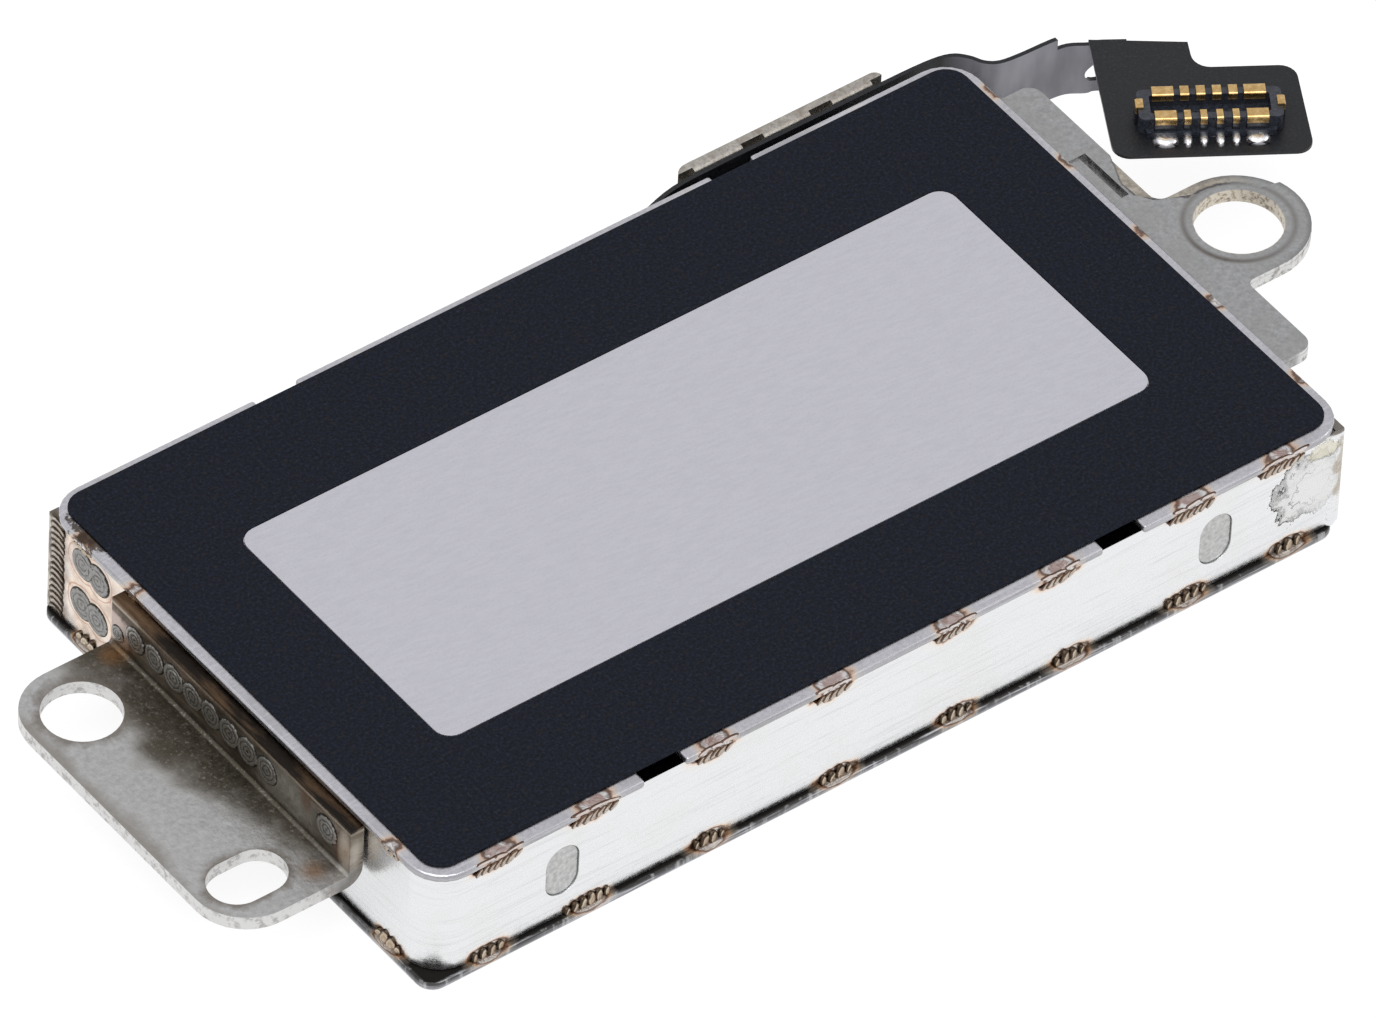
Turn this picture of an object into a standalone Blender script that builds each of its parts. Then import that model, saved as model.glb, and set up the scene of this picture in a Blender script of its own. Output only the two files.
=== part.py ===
"""Linear vibration motor of the flat-can kind: a steel casing with a sprung moving mass inside.

Blender 4.5. Dimensions below are in millimetres; the meshes are made in metres.
Origin: centre of the casing's flat underside. +X runs along the casing and the mass's travel,
+Y points to the side that the flex cable leaves from, +Z points up.
"""

import math

import bmesh
import bpy
from mathutils import Matrix, Vector

MM = 0.001
CLEAR = 0.02  # gap between pieces that touch on the real motor

# Casing
COVER_HALF = (12.38, 7.075)
COVER_Z = (3.06, 3.26)
BOTTOM_X = (-12.40, 12.24)
BOTTOM_Z = (0.0, 0.22)
BOTTOM_CORNER = 0.42
WALL_X = (-12.26, 12.34)
WALL_Y = (-6.93, 6.97)
WALL_Z = (0.24, 3.04)
WALL_THICK = 0.25
CORNER_RADIUS = 0.9
NOTCH_CENTRES = (-6.2, 6.15)  # locating notches along both long edges of the lid
NOTCH_WIDTH = 1.12
NOTCH_DEPTH = 0.5
PLUG_CENTRES = (-8.78, 8.87)  # sealed access holes in the front wall
PLUG_SIZE = (0.88, 1.41)
PLUG_Z = 1.59
PLUG_RECESS = 0.04
CABLE_SLIT_X = (2.3, 4.0)
ABOVE = 0.5  # how far a cutter stands out past what it cuts

# Label
LABEL_HALF = (12.13, 6.83)
LABEL_CENTRE = (0.022, 0.061)
LABEL_RADIUS = 0.55
LABEL_Z = (3.27, 3.31)
WINDOW_HALF = (9.61, 3.80)
WINDOW_RADIUS = 0.44

# Left mounting bracket
FOOT_X = (-15.76, -12.32)
FOOT_Y = (-4.56, 4.09)
FOOT_Z = (1.36, 1.71)
FLANGE_TOP = 3.03
SHEET = 0.35
BEND_INSIDE = 0.1
FOOT_RADIUS = 1.3
FOOT_HOLE = (-14.45, 2.69)
FOOT_HOLE_DIAMETER = 1.82
FOOT_SLOT = (-14.48, -3.34)
FOOT_SLOT_SIZE = (1.88, 1.32)

# Right mounting lug
LUG_X = (12.37, 13.39)
LUG_Y = (-4.53, 5.55)
LUG_Z = (2.70, 3.04)
LUG_STEP_Z = 2.93
LUG_HOLE = (14.416, -0.529)
LUG_HOLE_DIAMETER = 2.02
LUG_OUTER_RADIUS = 1.6
LUG_SEAT_RADIUS = 1.2
LUG_SLOT_X = (12.3, 12.97)
LUG_SLOT_Y = (1.54, 3.12)
LUG_SLOT_FLOOR = 2.985
LUG_GROOVES_X = ((12.36, 12.47), (12.80, 12.97))  # deeper grooves at both sides of the slot's floor
LUG_GROOVE_FLOOR = 2.76
LUG_FLANGE_THICK = 0.28
LUG_FLANGE_LOW = 1.2
LUG_FLANGE_Y = (-4.2, 5.2)
LUG_INSET = 0.004  # keeps the full-height part's sides off the lower part's
LUG_STEP_EDGE = (  # where the pressed-down far side ends, from the seat to the strip's outer edge
    (13.3, 1.08, 0), (13.08, 1.42, 0.1), (13.05, 1.95, 0.1), (13.386, 2.75, 0.2),
)

# Rear cable clip
CLIP_X = (5.15, 10.83)
CLIP_Y = (7.545, 7.86)
CLIP_TOP = 3.03
CLIP_SHEET = 0.16
CLIP_LOW = 0.40
CLIP_STEP_Z = 0.72  # the step that carries the clip out under the ribbon
CLIP_SLOT_REACH = 0.13
CLIP_SLOTS = ((4.9, 5.6), (6.92, 7.52), (8.79, 9.40), (10.5, 11.1))

# Flex cable: the standing ribbon's route seen from above, and its height
RIBBON_ROUTE = (
    (1.5, 6.42), (2.35, 6.48), (3.1, 6.80), (3.9, 7.13), (4.9, 7.40), (6.2, 7.455), (8.0, 7.455),
    (10.4, 7.452), (11.8, 7.43), (12.45, 7.32), (12.76, 7.05), (12.95, 6.72), (13.25, 6.52),
    (13.8, 6.45), (14.5, 6.42), (15.0, 6.35), (15.4, 6.12),
)
RIBBON_THICK = 0.11
RIBBON_Z = (1.27, 3.02)
RIBBON_NOTCH = (14.72, 2.72)  # the end beyond this X stands no higher than this, to pass under the tail
RIBBON_HOLE = (1.83, 0.24)  # height and radius of the relief hole beside the fold
RIBBON_HOLE_X = 15.58

# Flex cable: the flat tail, in its own frame
TAIL_ORIGIN = (13.799, 2.724)
TAIL_ANGLE = math.radians(-32.3)
TAIL_CORNERS = (
    (-0.24, 0.04, 0.40), (4.21, 0.06, 0.36), (4.05, 2.835, 0.40), (1.80, 2.835, 0.42),
    (1.74, 3.66, 0.0), (-0.45, 3.82, 0.0),
)
TAIL_Z = (2.68, 2.76)
FOLD_V = 3.54  # where the tail starts to turn down
FOLD_U = (-0.42, 1.72)
FOLD_RADIUS = 0.20
STIFFENER_CORNERS = (
    (0.15, 0.36, 0.3), (3.85, 0.36, 0.3), (3.72, 2.5, 0.3), (0.0, 2.5, 0.3),
)
STIFFENER_Z = (2.50, 2.66)

# Board connector, in the tail's frame
PLUG_CENTRE = (1.97, 1.197)
PLUG_HALF = (1.605, 0.48)
PLUG_BASE = 2.77
PLUG_HEIGHT = 0.45
PLUG_SIDE_WALL = 0.19
PLUG_END_WALL = 0.27
PLUG_FLOOR = 0.13
PLUG_SKIRT = (0.13, 0.16)  # how far it stands out, and its height
PIN_PITCH = 0.358
PIN_WIDTH = {"front": 0.15, "back": 0.20}
POWER_OFFSET = 1.02
POWER_WIDTH = 0.485
CONTACT_THICK = 0.05
CONTACT_BEND = 0.055
CONTACT_INNER_LEG = 0.13
CONTACT_FOOT = 0.40
CONTACT_GAP = 0.012
ANCHOR_WIDTH = 0.28
ANCHOR_STOP = 0.15

# Moving mass
MASS_HALF = (9.3, 5.75)
MASS_Z = (0.85, 2.45)
MASS_WINDOW = (6.0, 4.85)
MAGNET_EDGES = ((-5.96, -2.46), (-2.2, 2.2), (2.46, 5.96))
MAGNET_HALF_Y = 4.8
MAGNET_Z = (0.9, 2.4)
POLE_EDGES = ((-2.43, -2.23), (2.23, 2.43))

# Flat springs, one at each end of the mass
SPRING_THICK = 0.15
SPRING_Z = (0.95, 2.35)
SPRING_BEND_Y = 5.95  # how far the U reaches towards the front or the rear wall
SPRING_BEND_X = (-11.0, -10.1)  # the two corners of the left spring's U
SPRING_PAD_END = 4.7
BUMPER_Y = (-6.0, -4.6)
BUMPER_Z = (1.0, 2.3)
BUMPER_DEPTH = 0.4

# Coils and what carries them
COIL_X = (0.15, 5.6)
COIL_HALF_Y = 4.6
COIL_SIDE = 1.75
COIL_Z = {"lower": (0.34, 0.70), "upper": (2.60, 2.96)}
CARRIER_Z = {"lower": (0.24, 0.32), "upper": (2.98, 3.04)}
CARRIER_HALF = (6.2, 5.0)
CARRIER_TAB = (0.3, 2.1, 6.3)  # left and right side in X, back edge in Y
SENSOR_HALF = 0.45

FINISHES = {
    "casing_steel": ((0.62, 0.60, 0.57), 1.0, 0.22),
    "cover_steel": ((0.66, 0.65, 0.68), 1.0, 0.35),
    "bracket_steel": ((0.45, 0.43, 0.41), 1.0, 0.38),
    "label_black": ((0.012, 0.014, 0.020), 0.0, 0.55),
    "label_silver": ((0.62, 0.60, 0.66), 0.6, 0.42),
    "flex_black": ((0.02, 0.02, 0.022), 0.0, 0.35),
    "plug_black": ((0.012, 0.012, 0.014), 0.0, 0.40),
    "gold": ((0.83, 0.60, 0.24), 1.0, 0.28),
    "tungsten": ((0.34, 0.34, 0.35), 1.0, 0.42),
    "magnet_nickel": ((0.70, 0.69, 0.66), 1.0, 0.20),
    "spring_steel": ((0.58, 0.57, 0.55), 1.0, 0.28),
    "copper": ((0.80, 0.42, 0.24), 1.0, 0.35),
    "carrier_amber": ((0.45, 0.22, 0.05), 0.0, 0.40),
    "rubber": ((0.03, 0.03, 0.03), 0.0, 0.80),
}


def clear_scene():
    for obj in list(bpy.data.objects):
        bpy.data.objects.remove(obj, do_unlink=True)


def finish(name):
    """The Principled material of one finish, made once."""
    material = bpy.data.materials.get(name)
    if material:
        return material
    colour, metallic, roughness = FINISHES[name]
    material = bpy.data.materials.new(name)
    material.use_nodes = True
    shader = material.node_tree.nodes["Principled BSDF"]
    shader.inputs["Base Color"].default_value = (*colour, 1.0)
    shader.inputs["Metallic"].default_value = metallic
    shader.inputs["Roughness"].default_value = roughness
    material.diffuse_color = (*colour, 1.0)
    return material


def link(name, mesh, finish_name):
    obj = bpy.data.objects.new(name, mesh)
    bpy.context.scene.collection.objects.link(obj)
    if finish_name:
        mesh.materials.append(finish(finish_name))
    mesh.shade_smooth()
    mesh.set_sharp_from_angle(angle=math.radians(32))
    return obj


def rounded(corners, steps=6):
    """Outline through (x, y, radius) corners, each radius turned as an arc of `steps` chords."""
    points = []
    for i, (x, y, radius) in enumerate(corners):
        here = Vector((x, y))
        if radius <= 0:
            points.append(here)
            continue
        back = (Vector(corners[i - 1][:2]) - here).normalized()
        ahead = (Vector(corners[(i + 1) % len(corners)][:2]) - here).normalized()
        half = back.angle(ahead) / 2
        centre = here + (back + ahead).normalized() * radius / math.sin(half)
        first = here + back * radius / math.tan(half) - centre
        start = math.atan2(first.y, first.x)
        turn = math.copysign(math.pi - 2 * half, ahead.x * back.y - ahead.y * back.x)
        for k in range(steps + 1):
            angle = start + turn * k / steps
            points.append(centre + radius * Vector((math.cos(angle), math.sin(angle))))
    return points


def rectangle(half, centre=(0.0, 0.0), radius=0.0, steps=6):
    (cx, cy), (hx, hy) = centre, half
    corners = ((cx - hx, cy - hy), (cx + hx, cy - hy), (cx + hx, cy + hy), (cx - hx, cy + hy))
    return rounded([(x, y, radius) for x, y in corners], steps)


def span(x_range, y_range, radius=0.0, steps=6):
    centre = (sum(x_range) / 2, sum(y_range) / 2)
    half = ((x_range[1] - x_range[0]) / 2, (y_range[1] - y_range[0]) / 2)
    return rectangle(half, centre, radius, steps)


def oblong(size, centre):
    """A slot with round ends; the last micrometre keeps its short sides from vanishing."""
    return rectangle((size[0] / 2, size[1] / 2), centre, min(size) / 2 - 0.001, 10)


def circle(centre, radius, steps=40):
    angles = [2 * math.pi * k / steps for k in range(steps)]
    return [Vector((centre[0] + radius * math.cos(a), centre[1] + radius * math.sin(a))) for a in angles]


def in_tail(points):
    """Points of the tail's own frame, seen from above in the motor's frame."""
    c, s = math.cos(TAIL_ANGLE), math.sin(TAIL_ANGLE)
    return [
        Vector((TAIL_ORIGIN[0] + c * u - s * v, TAIL_ORIGIN[1] + s * u + c * v)) for u, v in points
    ]


def offset_line(points, distance):
    """The open line moved sideways, to its left for a positive distance."""
    moved = []
    for i, here in enumerate(points):
        before = (here - points[i - 1]).normalized() if i else None
        after = (points[i + 1] - here).normalized() if i + 1 < len(points) else None
        along = ((before or after) + (after or before)).normalized()
        reach = distance / along.dot(after or before)
        moved.append(here + Vector((-along.y, along.x)) * reach)
    return moved


def strip(points, thickness):
    """Closed outline of a sheet of this thickness, seen edge-on, along an open line."""
    return offset_line(points, -thickness / 2) + offset_line(points, thickness / 2)[::-1]


def smooth_line(points, per_span=4):
    """A Catmull-Rom curve through the points."""
    ends = [2 * points[0] - points[1], *points, 2 * points[-1] - points[-2]]
    line = []
    for p0, p1, p2, p3 in zip(ends, ends[1:], ends[2:], ends[3:]):
        for k in range(per_span):
            t = k / per_span
            line.append(
                0.5 * (2 * p1 + (p2 - p0) * t + (2 * p0 - 5 * p1 + 4 * p2 - p3) * t**2
                       + (3 * p1 - p0 - 3 * p2 + p3) * t**3)
            )
    return line + [points[-1]]


def grown(outline, distance):
    """The closed outline moved outwards by this distance; it runs anticlockwise."""
    count = len(outline)
    moved = []
    for i, here in enumerate(outline):
        before = (here - outline[i - 1]).normalized()
        after = (outline[(i + 1) % count] - here).normalized()
        along = (before + after).normalized()
        moved.append(here + Vector((along.y, -along.x)) * distance / along.dot(after))
    return moved


def prism_mesh(name, outline, low, high, place=None):
    """Solid between two copies of an outline. `place` turns (a, b, c) into a point, c being the height."""
    place = place or (lambda a, b, c: Vector((a, b, c)))
    mesh_builder = bmesh.new()
    bottom = [mesh_builder.verts.new(place(p.x, p.y, low) * MM) for p in outline]
    top = [mesh_builder.verts.new(place(p.x, p.y, high) * MM) for p in outline]
    mesh_builder.faces.new(bottom[::-1])
    mesh_builder.faces.new(top)
    for i in range(len(outline)):
        j = (i + 1) % len(outline)
        mesh_builder.faces.new((bottom[i], bottom[j], top[j], top[i]))
    bmesh.ops.recalc_face_normals(mesh_builder, faces=mesh_builder.faces)
    mesh = bpy.data.meshes.new(name)
    mesh_builder.to_mesh(mesh)
    mesh_builder.free()
    return mesh


def prism(name, outline, z_range, finish_name, place=None):
    return link(name, prism_mesh(name, outline, *z_range, place), finish_name)


def ring(name, outer, inner, z_range, finish_name):
    """Flat ring between two outlines that have the same number of points."""
    builder = bmesh.new()
    loops = []
    for outline in (outer, inner):
        for z in z_range:
            loops.append([builder.verts.new(Vector((p.x, p.y, z)) * MM) for p in outline])
    outer_low, outer_high, inner_low, inner_high = loops
    for first, second in (
        (outer_low, outer_high), (outer_high, inner_high), (inner_high, inner_low), (inner_low, outer_low),
    ):
        for i in range(len(outer)):
            j = (i + 1) % len(outer)
            builder.faces.new((first[i], first[j], second[j], second[i]))
    bmesh.ops.recalc_face_normals(builder, faces=builder.faces)
    mesh = bpy.data.meshes.new(name)
    builder.to_mesh(mesh)
    builder.free()
    return link(name, mesh, finish_name)


def helper(name, outline, z_range, place=None):
    """A solid that only cuts or joins another one."""
    obj = prism(name, outline, z_range, None, place)
    obj.hide_render = True
    obj.display_type = "WIRE"
    return obj


def combine(obj, other, operation):
    modifier = obj.modifiers.new(f"{operation.lower()} {other.name}", "BOOLEAN")
    modifier.operation = operation
    modifier.object = other


def cut(obj, *tools):
    for tool in tools:
        combine(obj, tool, "DIFFERENCE")


def join(obj, *others):
    for other in others:
        combine(obj, other, "UNION")


def along_y(a, b, c):
    """A profile drawn in XZ and pushed along Y."""
    return Vector((a, c, b))


def along_x(a, b, c):
    """A profile drawn in YZ and pushed along X."""
    return Vector((c, a, b))


def make_covers():
    outline = span(BOTTOM_X, (-COVER_HALF[1], COVER_HALF[1]), BOTTOM_CORNER)
    prism("bottom_cover", outline, BOTTOM_Z, "casing_steel")
    cover = prism("top_cover", rectangle(COVER_HALF, radius=CORNER_RADIUS), COVER_Z, "cover_steel")
    half = NOTCH_WIDTH / 2
    for edge, side in (("front", -1), ("rear", 1)):
        y_range = sorted((side * (COVER_HALF[1] - NOTCH_DEPTH), side * (COVER_HALF[1] + ABOVE)))
        for i, centre in enumerate(NOTCH_CENTRES):
            outline = span((centre - half, centre + half), y_range)
            cut(cover, helper(f"{edge}_notch_cutter_{i}", outline, (COVER_Z[0] - ABOVE, COVER_Z[1] + ABOVE)))


def make_walls():
    half = WALL_THICK / 2
    left, right = WALL_X[0] + half, WALL_X[1] - half
    front, back = WALL_Y[0] + half, WALL_Y[1] - half
    bend = CORNER_RADIUS - half
    front_left = rounded(
        [(left, WALL_Y[1], 0), (left, front, bend), (WALL_X[1] - WALL_THICK - CLEAR, front, 0)]
    )
    rear_right = rounded(
        [(right, WALL_Y[0], 0), (right, back, bend), (WALL_X[0] + WALL_THICK + CLEAR, back, 0)]
    )
    front_wall = prism("wall_front_left", strip(front_left, WALL_THICK), WALL_Z, "casing_steel")
    rear_wall = prism("wall_rear_right", strip(rear_right, WALL_THICK), WALL_Z, "casing_steel")

    slit = span(CABLE_SLIT_X, (WALL_Y[1] - ABOVE, WALL_Y[1] + ABOVE))
    cut(rear_wall, helper("cable_slit_cutter", slit, (RIBBON_Z[0] - 0.05, WALL_Z[1] + ABOVE)))

    for side, centre in zip(("left", "right"), PLUG_CENTRES):
        hole = oblong(PLUG_SIZE, (centre, PLUG_Z))
        plug = grown(hole, -CLEAR)
        reach = (WALL_Y[0] - ABOVE, WALL_Y[0] + ABOVE)
        cut(front_wall, helper(f"plug_hole_cutter_{side}", hole, reach, along_y))
        depth = (WALL_Y[0] + PLUG_RECESS, WALL_Y[0] + WALL_THICK)
        prism(f"access_plug_{side}", plug, depth, "bracket_steel", along_y)


def make_label():
    outer = rectangle(LABEL_HALF, LABEL_CENTRE, LABEL_RADIUS)
    opening = rectangle(WINDOW_HALF, LABEL_CENTRE, WINDOW_RADIUS)
    ring("label_border", outer, opening, LABEL_Z, "label_black")
    prism("label_window", grown(opening, -CLEAR), LABEL_Z, "label_silver")


def make_left_bracket():
    (foot_out, wall_side), (low, high) = FOOT_X, FOOT_Z
    face = wall_side - SHEET
    profile = rounded([
        (foot_out, low, 0), (wall_side, low, BEND_INSIDE + SHEET), (wall_side, FLANGE_TOP, 0),
        (face, FLANGE_TOP, 0), (face, high, BEND_INSIDE), (foot_out, high, 0),
    ])
    bracket = prism("left_bracket", profile, FOOT_Y, "bracket_steel", along_y)
    beyond = wall_side + ABOVE
    corners = [
        (foot_out, FOOT_Y[0], FOOT_RADIUS), (beyond, FOOT_Y[0], 0),
        (beyond, FOOT_Y[1], 0), (foot_out, FOOT_Y[1], FOOT_RADIUS),
    ]
    outline = helper("foot_outline", rounded(corners, 10), (low - ABOVE, FLANGE_TOP + ABOVE))
    combine(bracket, outline, "INTERSECT")
    hole = circle(FOOT_HOLE, FOOT_HOLE_DIAMETER / 2)
    slot = oblong(FOOT_SLOT_SIZE, FOOT_SLOT)
    reach = (low - ABOVE, high + ABOVE)
    cut(bracket, helper("foot_hole_cutter", hole, reach), helper("foot_slot_cutter", slot, reach))


def lug_arc(radius, start, end, steps):
    angles = [math.radians(start + (end - start) * k / steps) for k in range(steps + 1)]
    return [(LUG_HOLE[0] + radius * math.cos(a), LUG_HOLE[1] + radius * math.sin(a)) for a in angles]


def lug_outline():
    """Strip along the wall with a round ear; anticlockwise."""
    inner, outer = LUG_X
    ear = [(x, y, 0) for x, y in lug_arc(LUG_OUTER_RADIUS, -90, 90, 22)]
    return rounded([
        (inner, LUG_Y[0], 0), (outer, LUG_Y[0], 0.35),
        (outer, LUG_HOLE[1] - LUG_OUTER_RADIUS, 0.18), *ear,
        (outer, LUG_HOLE[1] + LUG_OUTER_RADIUS, 0.3),
        (outer, LUG_Y[1], 0.34), (inner, LUG_Y[1], 0),
    ])


def lug_upper_outline():
    """The part of the lug at full height; the rest is pressed down a little on the far side."""
    inset = LUG_INSET
    inner, outer = LUG_X[0] + inset, LUG_X[1] - inset
    front = [(x, y, 0) for x, y in lug_arc(LUG_OUTER_RADIUS - inset, -90, 18, 14)]
    seat = [(x, y, 0) for x, y in lug_arc(LUG_SEAT_RADIUS, 30, 96, 8)]
    return rounded([
        (inner, LUG_Y[0] + inset, 0), (outer, LUG_Y[0] + inset, 0.35),
        (outer, LUG_HOLE[1] - LUG_OUTER_RADIUS + inset, 0.18), *front, *seat, *LUG_STEP_EDGE,
        (outer, LUG_Y[1] - inset, 0.34), (inner, LUG_Y[1] - inset, 0),
    ])


def make_right_lug():
    lug = prism("right_lug", lug_outline(), (LUG_Z[0], LUG_STEP_Z), "bracket_steel")
    upper = helper("lug_upper", lug_upper_outline(), (LUG_STEP_Z - 0.1, LUG_Z[1]))
    flange = span((LUG_X[0] + LUG_INSET / 2, LUG_X[0] + LUG_FLANGE_THICK), LUG_FLANGE_Y)
    join(lug, upper, helper("lug_flange", flange, (LUG_FLANGE_LOW, LUG_Z[0] + 0.1)))
    hole = circle(LUG_HOLE, LUG_HOLE_DIAMETER / 2)
    slot = span(LUG_SLOT_X, LUG_SLOT_Y)
    cut(lug, helper("lug_hole_cutter", hole, (LUG_Z[0] - ABOVE, LUG_Z[1] + ABOVE)))
    cut(lug, helper("lug_slot_cutter", slot, (LUG_SLOT_FLOOR, LUG_Z[1] + ABOVE)))
    for i, x_range in enumerate(LUG_GROOVES_X):
        z_range = (LUG_GROOVE_FLOOR, LUG_Z[1] + ABOVE)
        cut(lug, helper(f"lug_groove_cutter_{i}", span(x_range, LUG_SLOT_Y), z_range))


def make_rear_clip():
    """Clamps the ribbon against the wall: a lip on the wall, a step under the ribbon, a leg, a flange."""
    near, far = CLIP_Y
    wall = WALL_Y[1] + CLEAR
    profile = rounded([
        (wall, CLIP_LOW, 0), (wall + CLIP_SHEET, CLIP_LOW, 0), (wall + CLIP_SHEET, CLIP_STEP_Z, 0.03),
        (near + CLIP_SHEET, CLIP_STEP_Z, 0.12), (near + CLIP_SHEET, CLIP_TOP - CLIP_SHEET, 0.03),
        (far, CLIP_TOP - CLIP_SHEET, 0), (far, CLIP_TOP, 0), (near, CLIP_TOP, 0.12),
        (near, CLIP_STEP_Z + CLIP_SHEET, 0.03), (wall, CLIP_STEP_Z + CLIP_SHEET, 0.12),
    ], 4)
    clip = prism("rear_clip", profile, CLIP_X, "bracket_steel", along_x)
    corners = [
        (CLIP_X[0], wall - ABOVE, 0), (CLIP_X[1], wall - ABOVE, 0), (CLIP_X[1], far, 0.2),
        (CLIP_X[0], far, 0.4),
    ]
    outline = helper("clip_outline", rounded(corners), (CLIP_LOW - ABOVE, CLIP_TOP + ABOVE))
    combine(clip, outline, "INTERSECT")
    for i, x_range in enumerate(CLIP_SLOTS):
        slot = span(x_range, (near - CLIP_SLOT_REACH, near + CLIP_SLOT_REACH))
        reach = (CLIP_TOP - 2 * CLIP_SHEET, CLIP_TOP + ABOVE)
        cut(clip, helper(f"clip_slot_cutter_{i}", slot, reach))


def tail_place(u, v, z):
    point = in_tail([(u, v)])[0]
    return Vector((point.x, point.y, z))


def fold_profile():
    """Section across the fold, in (v, z): the tail's end, a quarter turn and the leg under it."""
    top = TAIL_Z[1] + 0.003
    outer = FOLD_RADIUS + RIBBON_THICK
    arcs = [math.radians(90 - 90 * k / 6) for k in range(7)]
    outside = [(FOLD_V + outer * math.cos(a), top - outer + outer * math.sin(a)) for a in arcs]
    inside = [(FOLD_V + FOLD_RADIUS * math.cos(a), top - outer + FOLD_RADIUS * math.sin(a)) for a in arcs]
    start, leg = FOLD_V - 0.3, RIBBON_Z[0] + 0.03
    points = [(start, top), *outside, (FOLD_V + outer, leg), (FOLD_V + FOLD_RADIUS, leg), *inside[::-1]]
    points.append((start, top - RIBBON_THICK))
    return [Vector(p) for p in points[::-1]]


def make_flex_cable():
    leg_v = FOLD_V + FOLD_RADIUS + RIBBON_THICK / 2
    under_tail = in_tail([(u, leg_v) for u in (-0.25, 0.4)])
    route = smooth_line([Vector(p) for p in RIBBON_ROUTE] + under_tail)
    cable = prism("flex_cable", strip(route, RIBBON_THICK), RIBBON_Z, "flex_black")

    notch_x, notch_z = RIBBON_NOTCH
    notch = span((notch_x, notch_x + 4), (WALL_Y[1] - 4, WALL_Y[1]))
    cut(cable, helper("ribbon_notch_cutter", notch, (notch_z, RIBBON_Z[1] + ABOVE)))
    tail = helper("tail_plate", in_tail(rounded(TAIL_CORNERS)), TAIL_Z)
    fold = helper("tail_fold", fold_profile(), FOLD_U, lambda v, z, u: tail_place(u, v, z))
    join(cable, tail, fold)
    hole = circle((RIBBON_HOLE_X, RIBBON_HOLE[0]), RIBBON_HOLE[1], 20)
    cut(cable, helper("ribbon_hole_cutter", hole, (WALL_Y[1] - 1.4, WALL_Y[1]), along_y))

    prism("connector_stiffener", in_tail(rounded(STIFFENER_CORNERS)), STIFFENER_Z, "bracket_steel")


def contact_profile(row):
    """Section of one formed contact in (v, height): foot, leg up the wall, over it and down inside."""
    side = -1 if row == "front" else 1
    outer_wall = PLUG_HALF[1]
    inner_wall = outer_wall - PLUG_SIDE_WALL
    t, gap = CONTACT_THICK, CONTACT_GAP
    top = PLUG_HEIGHT + gap
    end = PLUG_HEIGHT - CONTACT_INNER_LEG
    points = rounded([
        (outer_wall + CONTACT_FOOT, 0.0, 0), (outer_wall + CONTACT_FOOT, t, 0),
        (outer_wall + gap + t, t, 0), (outer_wall + gap + t, top + t, CONTACT_BEND),
        (inner_wall - gap - t, top + t, CONTACT_BEND), (inner_wall - gap - t, end, 0),
        (inner_wall - gap, end, 0), (inner_wall - gap, top, 0),
        (outer_wall + gap, top, 0), (outer_wall + gap, 0.0, 0),
    ], 4)
    points = [Vector((PLUG_CENTRE[1] + side * p.x, p.y)) for p in points]
    return points if side > 0 else points[::-1]


def plug_place(v, height, u):
    return tail_place(u, v, PLUG_BASE + height)


def anchor_profile():
    """Section of a retention strip in (u from the plug's centre, height), over the end wall."""
    outer_wall = PLUG_HALF[0]
    inner_wall = outer_wall - PLUG_END_WALL
    t, gap = CONTACT_THICK, CONTACT_GAP
    top = PLUG_HEIGHT + gap
    return rounded([
        (outer_wall + gap + t, 0.02, 0), (outer_wall + gap + t, top + t, CONTACT_BEND),
        (inner_wall + ANCHOR_STOP, top + t, 0), (inner_wall + ANCHOR_STOP, top, 0),
        (outer_wall + gap, top, 0), (outer_wall + gap, 0.02, 0),
    ], 4)


def contact_places():
    """(name, row, centre along the plug, width) of each contact."""
    places = []
    for row in ("front", "back"):
        for i in range(4):
            centre = PLUG_CENTRE[0] + (i - 1.5) * PIN_PITCH
            places.append((f"signal_contact_{row}_{i + 1}", row, centre, PIN_WIDTH[row]))
        for side, sign in (("left", -1), ("right", 1)):
            centre = PLUG_CENTRE[0] + sign * POWER_OFFSET
            places.append((f"power_contact_{row}_{side}", row, centre, POWER_WIDTH))
    return places


def make_connector():
    base = PLUG_BASE
    body = in_tail(rectangle(PLUG_HALF, PLUG_CENTRE, 0.14, 4))
    housing = prism("connector_housing", body, (base, base + PLUG_HEIGHT), "plug_black")
    skirt_half = (PLUG_HALF[0] - PLUG_SKIRT[1], PLUG_HALF[1] + PLUG_SKIRT[0])
    skirt_outline = in_tail(rectangle(skirt_half, PLUG_CENTRE, 0.06, 3))
    skirt = helper("plug_skirt", skirt_outline, (base + 0.001, base + PLUG_SKIRT[1]))
    join(housing, skirt)
    well_half = (PLUG_HALF[0] - PLUG_END_WALL, PLUG_HALF[1] - PLUG_SIDE_WALL)
    well = in_tail(rectangle(well_half, PLUG_CENTRE, 0.05, 3))
    cut(housing, helper("plug_well_cutter", well, (base + PLUG_FLOOR, base + PLUG_HEIGHT + ABOVE)))
    for name, row, centre, width in contact_places():
        profile = contact_profile(row)
        prism(name, profile, (centre - width / 2, centre + width / 2), "gold", plug_place)
        reach = (centre - width / 2 - CONTACT_GAP, centre + width / 2 + CONTACT_GAP)
        cut(housing, helper(f"{name}_cutter", grown(profile, CONTACT_GAP / 2), reach, plug_place))
    for side, sign in (("left", -1), ("right", 1)):
        profile = anchor_profile()
        across = (PLUG_CENTRE[1] - ANCHOR_WIDTH / 2, PLUG_CENTRE[1] + ANCHOR_WIDTH / 2)

        def place(u, height, v, sign=sign):
            return tail_place(PLUG_CENTRE[0] + sign * u, v, base + height)

        prism(f"plug_anchor_{side}", profile, across, "gold", place)


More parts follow.
